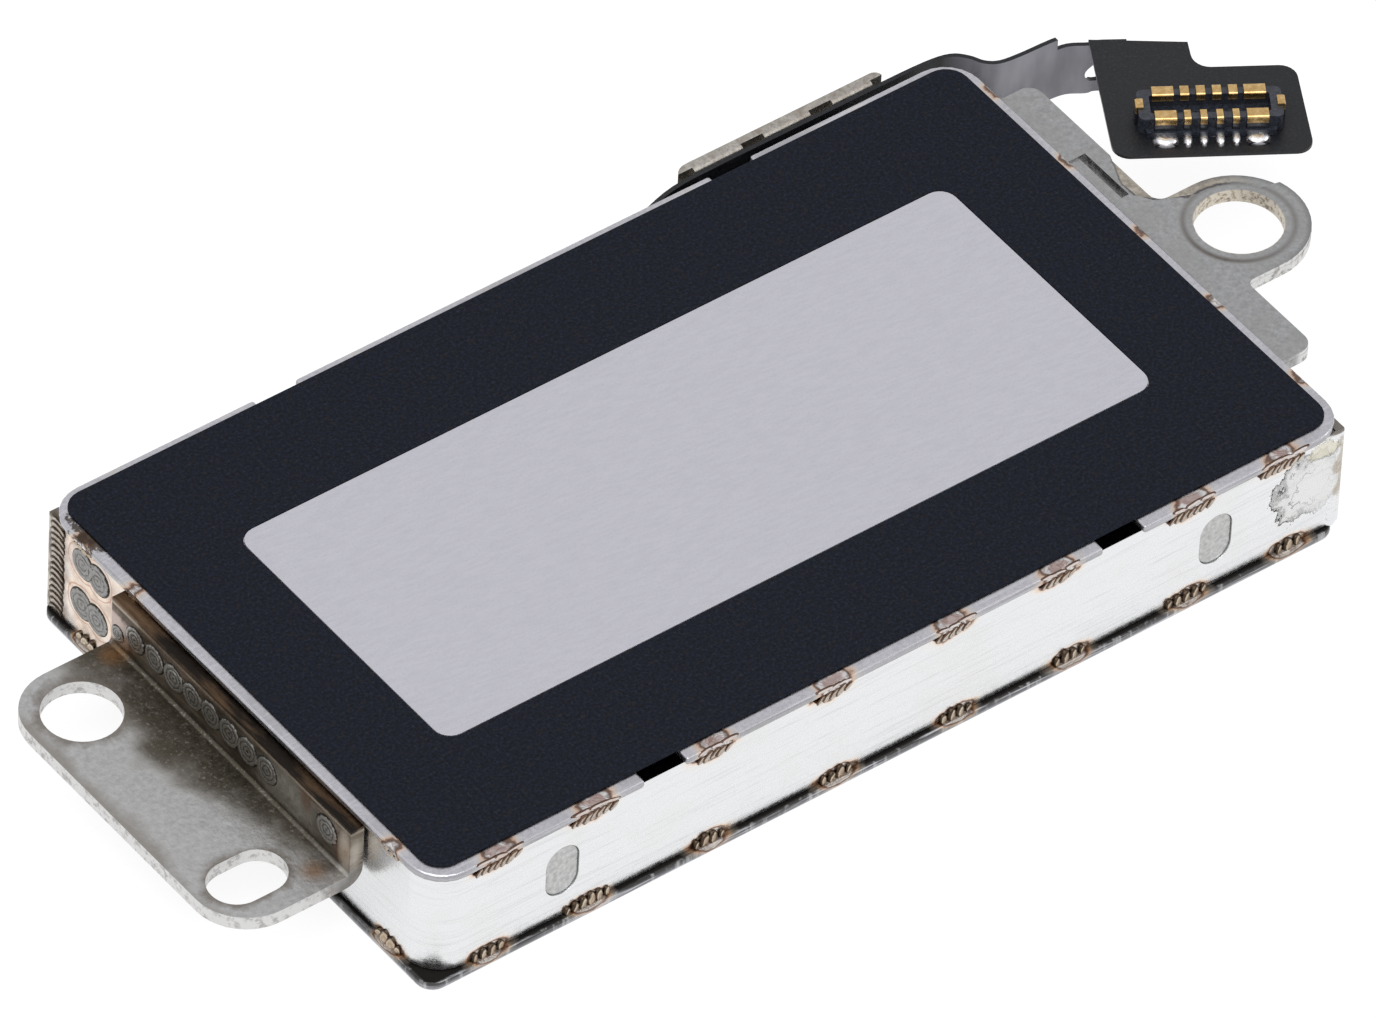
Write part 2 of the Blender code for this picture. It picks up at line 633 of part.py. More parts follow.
def make_moving_mass():
    ring(
        "mass_frame", rectangle(MASS_HALF, radius=0.7), rectangle(MASS_WINDOW, radius=0.3),
        MASS_Z, "tungsten",
    )
    for side, edges in zip(("left", "centre", "right"), MAGNET_EDGES):
        outline = span(edges, (-MAGNET_HALF_Y, MAGNET_HALF_Y), 0.15, 3)
        prism(f"magnet_{side}", outline, MAGNET_Z, "magnet_nickel")
    for side, edges in zip(("left", "right"), POLE_EDGES):
        outline = span(edges, (-MAGNET_HALF_Y, MAGNET_HALF_Y))
        prism(f"pole_plate_{side}", outline, MAGNET_Z, "casing_steel")

    axis = bpy.data.objects.new("mass_slide_axis", None)
    axis.location = (0.0, 0.0, sum(MASS_Z) / 2 * MM)
    bpy.context.scene.collection.objects.link(axis)
    for obj in bpy.data.objects:
        if obj.name.startswith(("mass_frame", "magnet_", "pole_plate_")):
            obj.parent = axis
            obj.matrix_parent_inverse = Matrix.Translation(-axis.location)


def spring_route(sign):
    """A flat U from the pad on the end wall to the pad on the mass; turned half round for the other end."""
    wall = (WALL_X[0] if sign < 0 else -WALL_X[1]) + WALL_THICK + CLEAR + SPRING_THICK / 2
    mass = -MASS_HALF[0] - CLEAR - SPRING_THICK / 2
    near_wall, near_mass = SPRING_BEND_X
    bend, pad = SPRING_BEND_Y, SPRING_PAD_END
    corners = [
        (wall, bend - 0.05, 0), (wall, pad, 1.2), (near_wall - 0.15, -pad - 0.3, 0.3),
        (near_wall, -bend, 0.42), (near_mass, -bend, 0.42), (near_mass + 0.05, -pad - 0.3, 0.3),
        (mass, pad, 1.2), (mass, bend - 0.45, 0),
    ]
    return [-sign * p for p in rounded(corners)]


def make_springs():
    for side, sign in (("left", -1), ("right", 1)):
        route = spring_route(sign)
        prism(f"spring_{side}", strip(route, SPRING_THICK), SPRING_Z, "spring_steel")
        wall = WALL_X[0] if sign < 0 else -WALL_X[1]
        face = wall + WALL_THICK + CLEAR
        pad = [-sign * p for p in span((face, face + BUMPER_DEPTH), BUMPER_Y, 0.1, 3)]
        prism(f"bumper_{side}", pad, BUMPER_Z, "rubber")


def make_coils():
    for level in ("lower", "upper"):
        for side, sign in (("left", -1), ("right", 1)):
            centre = (sign * sum(COIL_X) / 2, 0.0)
            half = ((COIL_X[1] - COIL_X[0]) / 2, COIL_HALF_Y)
            window = (half[0] - COIL_SIDE, half[1] - COIL_SIDE)
            outer = rectangle(half, centre, 1.9, 8)
            inner = rectangle(window, centre, 0.6, 8)
            ring(f"{level}_coil_{side}", outer, inner, COIL_Z[level], "copper")
        hx, hy = CARRIER_HALF
        tab_left, tab_right, tab_back = CARRIER_TAB
        outline = rounded([
            (-hx, -hy, 0.5), (hx, -hy, 0.5), (hx, hy, 0.5), (tab_right, hy, 0.1),
            (tab_right, tab_back, 0.2), (tab_left, tab_back, 0.2), (tab_left, hy, 0.1), (-hx, hy, 0.5),
        ], 4)
        prism(f"{level}_coil_carrier", outline, CARRIER_Z[level], "carrier_amber")
    sensor = rectangle((SENSOR_HALF, SENSOR_HALF), (-sum(COIL_X) / 2, 0.0))
    prism("position_sensor", sensor, (CARRIER_Z["lower"][1] + CLEAR, COIL_Z["lower"][1]), "plug_black")


def main():
    clear_scene()
    make_covers()
    make_walls()
    make_label()
    make_left_bracket()
    make_right_lug()
    make_rear_clip()
    make_flex_cable()
    make_connector()
    make_moving_mass()
    make_springs()
    make_coils()


main()
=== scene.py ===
import math
import random

import bmesh
import bpy
from mathutils import Matrix, Vector


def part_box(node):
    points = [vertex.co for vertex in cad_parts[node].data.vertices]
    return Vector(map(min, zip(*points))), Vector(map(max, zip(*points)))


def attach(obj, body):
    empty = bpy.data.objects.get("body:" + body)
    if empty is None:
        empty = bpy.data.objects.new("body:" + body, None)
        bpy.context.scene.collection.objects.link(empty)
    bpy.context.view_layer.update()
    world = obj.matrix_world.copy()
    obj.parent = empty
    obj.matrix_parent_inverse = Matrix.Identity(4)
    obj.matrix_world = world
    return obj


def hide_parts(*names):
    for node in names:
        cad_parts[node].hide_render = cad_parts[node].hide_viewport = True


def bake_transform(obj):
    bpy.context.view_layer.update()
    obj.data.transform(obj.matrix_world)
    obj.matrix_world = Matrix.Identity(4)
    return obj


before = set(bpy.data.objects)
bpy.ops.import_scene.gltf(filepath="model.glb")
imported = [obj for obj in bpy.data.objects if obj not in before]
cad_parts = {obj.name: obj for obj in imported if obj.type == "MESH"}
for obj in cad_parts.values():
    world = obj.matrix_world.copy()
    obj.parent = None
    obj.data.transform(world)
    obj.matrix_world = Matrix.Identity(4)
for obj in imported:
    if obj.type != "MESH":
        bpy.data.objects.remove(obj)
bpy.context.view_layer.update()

mm = 0.001
quarter = math.radians(90)

stageSetup = {
    "aim": (-0.01, 0.284, 1.65),
    "distance": 465.35,
    "azimuth": 39.1,
    "elevation": 44.38,
    "roll": 3.05,
    "lens": 562.4,
    "skyStrength": 0.82,
    "softboxPower": 9.0,
    "softboxSize": 1.1,
    "softboxPlace": (-0.35, -0.25, 1.0),
    "fillPower": 1.5,
    "fillSize": 0.5,
    "fillPlace": (0.8, -0.5, 0.5),
    "floorGlow": 0.88,
    "floorTone": 0.15,
}


def makeCamera(setup):
    azimuth, elevation, roll = (math.radians(setup[key]) for key in ("azimuth", "elevation", "roll"))
    reach = math.cos(elevation)
    forward = Vector((math.sin(azimuth) * reach, math.cos(azimuth) * reach, -math.sin(elevation)))
    level = Vector((math.cos(azimuth), -math.sin(azimuth), 0.0))
    upright = level.cross(forward)
    right = level * math.cos(roll) + upright * math.sin(roll)
    up = upright * math.cos(roll) - level * math.sin(roll)
    place = Matrix((right, up, -forward)).transposed().to_4x4()
    place.translation = (Vector(setup["aim"]) - forward * setup["distance"]) * mm
    camera = bpy.data.objects.new("camera", bpy.data.cameras.new("camera"))
    camera.data.lens = setup["lens"]
    camera.data.clip_start = 0.01
    camera.matrix_world = place
    bpy.context.scene.collection.objects.link(camera)
    bpy.context.scene.camera = camera


# the socket of that name which the node's settings leave in use
def live(sockets, name):
    return next(s for s in sockets if s.name == name and s.enabled)


def add(tree, kind, inputs=None, **settings):
    made = tree.nodes.new(kind)
    for key, value in settings.items():
        setattr(made, key, value)
    for key, value in (inputs or {}).items():
        target = live(made.inputs, key)
        if isinstance(value, bpy.types.NodeSocket):
            tree.links.new(value, target)
        else:
            target.default_value = value
    return made


def makeLights(setup):
    world = bpy.data.worlds.new("studio")
    world.use_nodes = True
    background = world.node_tree.nodes["Background"]
    background.inputs["Color"].default_value = (0.98, 0.985, 1.0, 1.0)
    background.inputs["Strength"].default_value = setup["skyStrength"]
    bpy.context.scene.world = world
    for name, power, place, size in (
        ("softbox", setup["softboxPower"], setup["softboxPlace"], setup["softboxSize"]),
        ("fill", setup["fillPower"], setup["fillPlace"], setup["fillSize"]),
    ):
        light = bpy.data.lights.new(name, "AREA")
        light.energy = power
        light.size = size
        lamp = bpy.data.objects.new(name, light)
        lamp.location = place
        lamp.rotation_euler = (-Vector(place)).to_track_quat("-Z", "Y").to_euler()
        bpy.context.scene.collection.objects.link(lamp)


def makeFloor(setup):
    # off centre, so the sheet's diagonal doesn't run under the part
    mesh = bpy.data.meshes.new("floor")
    corners = [(-1.2, -1.6), (1.8, -1.6), (1.8, 1.4), (-1.2, 1.4)]
    mesh.from_pydata([(x, y, -0.03 * mm) for x, y in corners], [], [(0, 1, 2, 3)])
    material = bpy.data.materials.new("floor")
    material.use_nodes = True
    tree = material.node_tree
    shader = tree.nodes["Principled BSDF"]
    tone = setup["floorTone"]
    shader.inputs["Base Color"].default_value = (tone, tone, tone, 1.0)
    shader.inputs["Roughness"].default_value = 0.9
    shader.inputs["Specular IOR Level"].default_value = 0.0
    shader.inputs["Emission Color"].default_value = (1.0, 1.0, 1.0, 1.0)
    shader.inputs["Emission Strength"].default_value = setup["floorGlow"]
    # one-sided, so the underside can be seen from below
    side = add(tree, "ShaderNodeNewGeometry")
    clear = add(tree, "ShaderNodeBsdfTransparent")
    both = add(tree, "ShaderNodeMixShader")
    tree.links.new(side.outputs["Backfacing"], both.inputs[0])
    tree.links.new(shader.outputs[0], both.inputs[1])
    tree.links.new(clear.outputs[0], both.inputs[2])
    tree.links.new(both.outputs[0], tree.nodes["Material Output"].inputs["Surface"])
    mesh.materials.append(material)
    floor = bpy.data.objects.new("floor", mesh)
    bpy.context.scene.collection.objects.link(floor)


bpy.context.scene.view_settings.view_transform = "Standard"
makeCamera(stageSetup)
makeLights(stageSetup)
makeFloor(stageSetup)
print("stage: camera, light and floor")


# Patterns in the materials are in millimetres on Object coordinates.

def colour(value):
    return (*value, 1.0) if len(value) == 3 else value


# direct sets sockets by their names
def shaderOf(name, base, metallic, roughness, **direct):
    material = bpy.data.materials.new(name)
    material.use_nodes = True
    tree = material.node_tree
    shader = tree.nodes["Principled BSDF"]
    shader.inputs["Base Color"].default_value = colour(base)
    shader.inputs["Metallic"].default_value = metallic
    shader.inputs["Roughness"].default_value = roughness
    for key, value in direct.items():
        shader.inputs[key.replace("_", " ")].default_value = value
    return material, tree, shader


# Object coordinates in millimetres, turned about Z, then scaled along each axis
def spot(tree, stretch=(1, 1, 1), turn=0.0):
    point = add(tree, "ShaderNodeTexCoord").outputs["Object"]
    if turn:
        point = add(tree, "ShaderNodeVectorRotate", {"Vector": point, "Angle": turn}).outputs["Vector"]
    made = add(tree, "ShaderNodeVectorMath", {"Vector": point}, operation="MULTIPLY")
    made.inputs[1].default_value = tuple(s / mm for s in stretch)
    return made.outputs["Vector"]


def cloud(tree, vector, scale=1.0, detail=3.0, roughness=0.55):
    return add(tree, "ShaderNodeTexNoise", {
        "Vector": vector, "Scale": scale, "Detail": detail, "Roughness": roughness,
    }).outputs["Fac"]


def combine(tree, a, b, operation="ADD"):
    made = add(tree, "ShaderNodeMath", operation=operation)
    for target, value in zip(made.inputs, (a, b)):
        if isinstance(value, bpy.types.NodeSocket):
            tree.links.new(value, target)
        else:
            target.default_value = value
    return made.outputs[0]


def times(tree, a, b):
    return combine(tree, a, b, "MULTIPLY")


def remap(tree, value, low, high, toLow=0.0, toHigh=1.0):
    return add(tree, "ShaderNodeMapRange", {
        "Value": value, "From Min": low, "From Max": high, "To Min": toLow, "To Max": toHigh,
    }).outputs["Result"]


# value moved up and down with the noise, by up to about this much
def ragged(tree, value, noise, amount):
    return combine(tree, value, remap(tree, noise, 0.3, 0.7, -amount, amount))


def ramp(tree, value, stops):
    made = add(tree, "ShaderNodeValToRGB", {"Fac": value})
    elements = made.color_ramp.elements
    for element, (position, tone) in ((elements[0], stops[0]), (elements[1], stops[-1])):
        element.position = position
        element.color = colour(tone)
    for position, tone in stops[1:-1]:
        elements.new(position).color = colour(tone)
    return made.outputs["Color"]


# a ramp of plain levels instead of colours
def levels(tree, value, stops):
    return ramp(tree, value, [(position, (level,) * 3) for position, level in stops])


def mix(tree, share, a, b, mode="MIX"):
    values = {"Factor": share}
    for key, value in (("A", a), ("B", b)):
        values[key] = value if isinstance(value, bpy.types.NodeSocket) else colour(value)
    made = add(tree, "ShaderNodeMix", data_type="RGBA", blend_type=mode)
    for key, value in values.items():
        target = live(made.inputs, key)
        if isinstance(value, bpy.types.NodeSocket):
            tree.links.new(value, target)
        else:
            target.default_value = value
    return live(made.outputs, "Result")


def axisOf(tree, vector, axis):
    return add(tree, "ShaderNodeSeparateXYZ", {"Vector": vector}).outputs[axis]


# 1 on level faces, 0 on upright ones
def levelness(tree):
    normal = add(tree, "ShaderNodeNewGeometry").outputs["Normal"]
    return combine(tree, axisOf(tree, normal, "Z"), 0.0, "ABSOLUTE")


def speckOf(tree, scale):
    return remap(tree, cloud(tree, spot(tree), scale, 4, 0.7), 0.5, 0.62)


def setBase(tree, shader, value):
    tree.links.new(value, shader.inputs["Base Color"])


def setRough(tree, shader, value):
    tree.links.new(value, shader.inputs["Roughness"])


# each layer is (height, depth in millimetres)
def setBump(tree, shader, *layers):
    normal = None
    for height, depth in layers:
        inputs = {"Height": height, "Distance": depth * mm, "Strength": 1.0}
        if normal is not None:
            inputs["Normal"] = normal
        normal = add(tree, "ShaderNodeBump", inputs).outputs["Normal"]
    tree.links.new(normal, shader.inputs["Normal"])


# distance from the nearest point, where 1 is the surface of its ellipsoid of these radii
def nearest(tree, vector, points, radii):
    scale = Vector([1 / r for r in radii])
    scaled = add(tree, "ShaderNodeVectorMath", {"Vector": vector}, operation="MULTIPLY")
    scaled.inputs[1].default_value = scale
    result = None
    for point in points:
        away = add(tree, "ShaderNodeVectorMath", operation="DISTANCE")
        tree.links.new(scaled.outputs["Vector"], away.inputs[0])
        away.inputs[1].default_value = Vector(point) * scale
        distance = away.outputs["Value"]
        result = distance if result is None else combine(tree, result, distance, "MINIMUM")
    return result


# Where the casing is welded, in millimetres. Each run of beads is (place along the edge, half its width).

weldRuns = {
    "frontTop": [(-10.57, 0.66), (-8.03, 0.66), (-4.83, 0.5), (-1.63, 0.5), (1.57, 0.5), (4.43, 0.5),
                 (8.07, 0.66), (10.56, 0.66)],
    "frontFoot": [(-10.73, 0.5), (-8.09, 0.7), (-4.83, 0.5), (-1.41, 0.5), (1.84, 0.5), (4.93, 0.5),
                  (8.13, 0.65), (10.94, 0.42)],
    "leftTop": [(-5.56, 0.5), (3.82, 0.2), (5.62, 0.6)],
    "leftFoot": [(-5.5, 0.5), (5.4, 0.5)],
    "rightTop": [(-5.3, 0.5), (-2.4, 0.42), (0.29, 0.5), (3.0, 0.45), (5.7, 0.5)],
    "rightFoot": [(-5.4, 0.5), (-1.8, 0.5), (1.8, 0.5), (5.4, 0.5)],
    "rearTop": [(-10.4, 0.5), (-7.3, 0.5), (-4.2, 0.4), (-0.6, 0.5), (4.9, 0.5), (8.4, 0.55), (9.6, 0.5)],
    "rearFoot": [(-10.7, 0.5), (-8.1, 0.6), (-4.8, 0.5), (-1.4, 0.5), (1.8, 0.5), (4.9, 0.5), (8.1, 0.6),
                 (10.9, 0.45)],
}

low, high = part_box("wall_front_left")
wallLeft, wallFront = low.x / mm, low.y / mm
low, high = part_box("wall_rear_right")
wallRight, wallRear = high.x / mm, high.y / mm

# heights of the joints under the lid and over the base plate
seamHeights = {"Top": 3.04, "Foot": 0.3}

# outward turn about Z, and the run's line as functions of the place along it
edgeFrames = {
    "front": (math.pi, lambda s, out, z: (s, wallFront - out, z)),
    "rear": (0.0, lambda s, out, z: (s, wallRear + out, z)),
    "left": (quarter, lambda s, out, z: (wallLeft - out, s, z)),
    "right": (-quarter, lambda s, out, z: (wallRight + out, s, z)),
}


def runEdge(name):
    return next(edge for edge in edgeFrames if name.startswith(edge))


# centres of all the runs at one level, for the heat marks in the metal round them
def weldCentres(level):
    height = seamHeights[level]
    found = {"long": [], "side": []}
    for name, runs in weldRuns.items():
        if name.endswith(level):
            edge = runEdge(name)
            kind = "long" if edge in ("front", "rear") else "side"
            found[kind] += [edgeFrames[edge][1](run[0], 0.0, height) for run in runs]
    return found


# colours of heated steel over base, round each group of (points, radii)
def heatMarks(tree, base, marks, strength=1.0, inner=(0.68, 0.61, 0.55)):
    point = spot(tree)
    away = None
    for points, radii in marks:
        distance = nearest(tree, point, points, radii)
        away = distance if away is None else combine(tree, away, distance, "MINIMUM")
    reach = times(tree, ragged(tree, away, cloud(tree, point, 2.6, 4), 0.16), 0.5)
    tint = ramp(tree, reach, [
        (0.0, inner), (0.22, inner), (0.30, tuple(0.72 * c for c in inner)),
        (0.36, inner), (0.42, (0.11, 0.06, 0.035)), (0.455, (0.20, 0.10, 0.055)),
        (0.50, (0.76, 0.50, 0.31)), (0.58, (0.84, 0.73, 0.60)), (1.0, (0.85, 0.80, 0.74)),
    ])
    # ripples of the frozen melt
    ripple = levels(tree, cloud(tree, point, 2.1, 2, 0.45), [
        (0.0, 0.0), (0.40, 0.0), (0.42, 0.8), (0.44, 0.0), (0.475, 0.0), (0.495, 0.9),
        (0.515, 0.0), (0.55, 0.0), (0.57, 0.8), (0.59, 0.0), (1.0, 0.0),
    ])
    ripple = times(tree, ripple, remap(tree, reach, 0.42, 0.36))
    tint = mix(tree, times(tree, ripple, 0.75), tint, (0.13, 0.075, 0.05))
    share = levels(tree, reach, [(0.0, 0.9), (0.455, 0.9), (0.50, 0.55), (0.57, 0.2), (0.7, 0.0)])
    return mix(tree, times(tree, share, strength), base, tint)


# places on the left wall are (y, z)
wallDiscs = {"pairs": [(5.70, 2.45), (5.15, 2.42), (5.70, 1.26), (5.15, 1.22)], "radius": 0.42}
steelLook = {
    "base": (0.77, 0.775, 0.785), "dark": (0.61, 0.61, 0.615), "roughness": 0.24,
    "haze": [(5.6, 2.4), (5.5, 1.3), (4.5, 1.9)],
    "leftFace": (-12.1, -12.2), "seamSoot": (6.22, 6.5), "seamEdge": (6.86, 6.94),
    "bareCorners": [(12.3, -6.9, 3.04), (-12.2, 6.9, 3.04)],
    "notches": (-6.2, 6.15),
}
# the dried glue on the front wall, in millimetres
glueLook = {
    "centre": (11.45, -6.93, 1.75), "radii": (1.0, 1.1, 1.05), "fade": (11.75, 11.0),
    "stain": (12.3, -6.75, 1.9), "stainRadii": (0.22, 0.6, 1.0),
    "drop": (11.75, -6.93, 2.68), "dropRadii": (0.42, 2.0, 0.26),
}


# warm haze round the left wall's weld spots, and soot along its corner seam
def leftWallHeat(tree, point, base):
    places = [(wallLeft, y, z) for y, z in steelLook["haze"]]
    haze = ragged(tree, nearest(tree, point, places, (1, 1, 1)), cloud(tree, point, 1.7), 0.3)
    blotch = remap(tree, cloud(tree, point, 2.2, 3), 0.4, 0.6)
    warm = mix(tree, blotch, (0.84, 0.70, 0.58), (0.60, 0.49, 0.41))
    base = mix(tree, remap(tree, haze, 0.6, 1.6), warm, base)
    along = ragged(tree, axisOf(tree, point, "Y"), cloud(tree, point, 2.5, 4), 0.12)
    onLeft = remap(tree, axisOf(tree, point, "X"), *steelLook["leftFace"])
    sooty = times(tree, remap(tree, along, *steelLook["seamSoot"]), onLeft)
    base = mix(tree, times(tree, sooty, 0.85), base, (0.17, 0.125, 0.09))
    edgeStrip = times(tree, sooty, remap(tree, along, *steelLook["seamEdge"]))
    return mix(tree, edgeStrip, base, (0.55, 0.51, 0.45))


# dried glue: a crinkled dark outline round a faint film, a stain at the corner and a yellow drop
def driedGlue(tree, point, base):
    look = glueLook
    away = nearest(tree, point, [look["centre"]], look["radii"])
    away = ragged(tree, away, cloud(tree, point, 1.6, 6, 0.66), 0.42)
    outline = levels(tree, away, [
        (0.0, 0.0), (0.42, 0.0), (0.46, 0.55), (0.49, 0.0), (0.72, 0.08), (0.82, 0.45),
        (0.87, 0.15), (0.90, 1.0), (0.93, 1.0), (0.96, 0.0), (1.0, 0.0),
    ])
    outline = times(tree, outline, remap(tree, axisOf(tree, point, "X"), *look["fade"], 0.22, 1.0))
    base = mix(tree, remap(tree, away, 0.95, 0.85, 0.0, 0.28), base, (0.60, 0.61, 0.55))
    base = mix(tree, outline, base, (0.03, 0.03, 0.028))
    stain = nearest(tree, point, [look["stain"]], look["stainRadii"])
    stain = ragged(tree, stain, cloud(tree, point, 2.6, 5), 0.6)
    base = mix(tree, remap(tree, stain, 1.1, 0.7, 0.0, 0.6), base, (0.36, 0.29, 0.20))
    drop = nearest(tree, point, [look["drop"]], look["dropRadii"])
    drop = remap(tree, ragged(tree, drop, cloud(tree, point, 3.0, 4), 0.4), 1.05, 0.8)
    base = mix(tree, times(tree, drop, 0.45), base, (0.62, 0.55, 0.34))
    return base, outline, drop


# bright rolled strip with fine level lines, browned where it was welded
def wallSteel():
    look = steelLook
    material, tree, shader = shaderOf("wallSteel", look["base"], 1.0, look["roughness"])
    point = spot(tree)
    lines = cloud(tree, spot(tree, (0.5, 0.5, 16)), 1.0, 5, 0.65)
    grain = cloud(tree, point, 9.0, 4)
    patch = cloud(tree, point, 0.8, 4)
    base = mix(tree, remap(tree, lines, 0.52, 0.75, 0.0, 0.8), look["base"], look["dark"])
    base = mix(tree, remap(tree, grain, 0.62, 0.8, 0.0, 0.2), base, (0.55, 0.545, 0.53))
    base = mix(tree, remap(tree, patch, 0.52, 0.7, 0.0, 0.3), base, (0.70, 0.70, 0.68))
    top, foot = weldCentres("Top"), weldCentres("Foot")
    base = heatMarks(tree, base, [
        (top["long"], (0.66, 0.5, 0.37)), (top["side"], (0.5, 0.42, 0.12)),
        (foot["long"], (0.60, 0.5, 0.25)), (foot["side"], (0.5, 0.55, 0.20)),
    ])
    base = leftWallHeat(tree, point, base)
    # brown tops of the walls where they stick out past the lid's rounded corners
    bare = nearest(tree, point, look["bareCorners"], (0.45, 0.45, 0.10))
    base = mix(tree, remap(tree, bare, 1.15, 0.8, 0.0, 0.85), base, (0.10, 0.08, 0.06))
    base, outline, drop = driedGlue(tree, point, base)
    # painted shade on the top edge where the lid's locating notches show it
    notches = [(x, y, seamHeights["Top"]) for x in look["notches"] for y in (wallFront, wallRear)]
    sootAndShade = remap(tree, nearest(tree, point, notches, (0.8, 0.8, 0.5)), 1.0, 0.9)
    sootAndShade = times(tree, remap(tree, levelness(tree), 0.6, 0.8), sootAndShade)
    base = mix(tree, sootAndShade, base, (0.012, 0.011, 0.011))
    # a fine brown contour round the weld discs
    discs = [(wallLeft, y, z) for y, z in wallDiscs["pairs"]]
    contour = nearest(tree, point, discs, (1.0, wallDiscs["radius"], wallDiscs["radius"]))
    contour = times(tree, ragged(tree, contour, cloud(tree, point, 2.4, 3), 0.08), 0.5)
    contour = levels(tree, contour, [(0.0, 0.0), (0.58, 0.0), (0.615, 0.75), (0.65, 0.0), (1.0, 0.0)])
    base = mix(tree, contour, base, (0.40, 0.17, 0.10))
    setBase(tree, shader, base)
    setRough(tree, shader, remap(tree, grain, 0.3, 0.75, 0.18, 0.34))
    setBump(tree, shader, (lines, 0.004), (grain, 0.003), (outline, 0.015), (drop, 0.05))
    return material


coverLook = {
    "base": (0.66, 0.65, 0.70), "lowerEdge": (3.10, 3.075), "rustHeight": 3.26,
    "burn": (-12.1, 5.65, 3.18), "burnRadii": (0.30, 0.72, 0.3),
}


# satin lid, lightly violet, with fine lines along its edges and burnt patches at its welds
def coverSteel():
    look = coverLook
    material, tree, shader = shaderOf("coverSteel", look["base"], 1.0, 0.36)
    point = spot(tree)
    lines = cloud(tree, spot(tree, (0.35, 0.35, 34)), 1.0, 4)
    grain = cloud(tree, point, 11.0, 5)
    base = mix(tree, remap(tree, grain, 0.38, 0.7), (0.58, 0.575, 0.61), (0.45, 0.445, 0.475))
    base = mix(tree, remap(tree, lines, 0.50, 0.66, 0.0, 0.6), base, (0.38, 0.375, 0.39))
    brushed = cloud(tree, spot(tree, (0.5, 12, 1)), 1.0, 4)
    base = mix(tree, remap(tree, brushed, 0.55, 0.7, 0.0, 0.35), base, (0.80, 0.80, 0.83))
    # painted shade: the lid's upright sides are darker than its top
    side = remap(tree, levelness(tree), 0.8, 0.3, 0.0, 0.7)
    sideShadeTone = mix(tree, remap(tree, lines, 0.4, 0.6), (0.44, 0.44, 0.46), (0.30, 0.30, 0.31))
    base = mix(tree, side, base, sideShadeTone)
    lower = remap(tree, ragged(tree, axisOf(tree, point, "Z"), grain, 0.015), *look["lowerEdge"])
    base = mix(tree, lower, base, (0.20, 0.17, 0.15))
    top = weldCentres("Top")
    front = [place for place in top["long"] if place[1] < 0]
    rear = [place for place in top["long"] if place[1] > 0]
    base = heatMarks(tree, base, [
        (front, (0.56, 0.36, 0.42)), (rear, (0.50, 0.20, 0.18)), (top["side"], (0.30, 0.40, 0.28)),
    ], inner=(0.76, 0.73, 0.72))
    # the rough weld at the rear end of the left edge
    burn = nearest(tree, point, [look["burn"]], look["burnRadii"])
    burn = ragged(tree, burn, cloud(tree, point, 5.0, 5, 0.7), 0.7)
    base = mix(tree, remap(tree, burn, 1.0, 0.7, 0.0, 0.9), base, (0.06, 0.042, 0.03))
    # rust over the beads of the front edge
    rust = nearest(tree, point, [(x, y, look["rustHeight"]) for x, y, z in front], (0.36, 0.22, 0.10))
    rust = ragged(tree, rust, cloud(tree, point, 3.4, 5), 0.5)
    base = mix(tree, remap(tree, rust, 0.8, 0.5, 0.0, 0.5), base, (0.28, 0.11, 0.07))
    setBase(tree, shader, base)
    setRough(tree, shader, remap(tree, grain, 0.3, 0.75, 0.26, 0.42))
    setBump(tree, shader, (lines, 0.006), (grain, 0.003))
    return material


# in millimetres; each pair runs from no painted shadow to full painted shadow
plateLook = {"thickness": 0.25, "ledge": (0.20, 0.215), "ledgeX": (12.37, 12.31), "ledgeY": (7.06, 7.0)}


# base plate: painted shade darkens its sides towards the top and blackens its top ledge, scuffed grey on
# its sides, rolled below
def plateSteel():
    look = plateLook
    material, tree, shader = shaderOf("plateSteel", (0.5, 0.5, 0.5), 1.0, 0.34)
    point = spot(tree)
    height = axisOf(tree, point, "Z")
    grain = cloud(tree, point, 5.0, 5, 0.65)
    scuff = cloud(tree, spot(tree, (7, 7, 0.9)), 1.0, 4)
    streak = cloud(tree, spot(tree, (0.6, 0.6, 22)), 1.0, 4)
    rolled = cloud(tree, spot(tree, (0.25, 9, 1)), 1.0, 5, 0.6)
    # painted shade: the sides go from a lit lower edge to dark at the ledge
    base = ramp(tree, times(tree, height, 1 / look["thickness"]), [
        (0.0, (0.64, 0.64, 0.66)), (0.12, (0.40, 0.40, 0.42)), (0.35, (0.19, 0.19, 0.20)),
        (0.60, (0.10, 0.10, 0.105)), (0.80, (0.07, 0.068, 0.066)), (1.0, (0.04, 0.038, 0.036)),
    ])
    base = mix(tree, remap(tree, rolled, 0.5, 0.7, 0.0, 0.3), base, (0.46, 0.46, 0.45), "MULTIPLY")
    base = mix(tree, remap(tree, scuff, 0.55, 0.7, 0.0, 0.4), base, (0.75, 0.75, 0.75))
    base = mix(tree, remap(tree, streak, 0.54, 0.64, 0.0, 0.7), base, (0.66, 0.66, 0.70))
    # painted shadow makes the ledge black near the wall, grey at its outer edge
    nearX, nearY = (
        remap(tree, combine(tree, axisOf(tree, point, axis), 0.0, "ABSOLUTE"), *look["ledge" + axis])
        for axis in "XY"
    )
    ledge = times(tree, remap(tree, height, *look["ledge"]), combine(tree, nearX, nearY, "MINIMUM"))
    base = mix(tree, ledge, base, (0.018, 0.016, 0.015))
    foot = weldCentres("Foot")
    marks = [(foot["long"], (0.56, 0.4, 0.24)), (foot["side"], (0.42, 0.55, 0.2))]
    base = heatMarks(tree, base, marks, 0.8)
    setBase(tree, shader, base)
    setRough(tree, shader, remap(tree, ledge, 0.0, 1.0, 0.34, 0.65))
    setBump(tree, shader, (scuff, 0.008), (grain, 0.005), (rolled, 0.004))
    return material


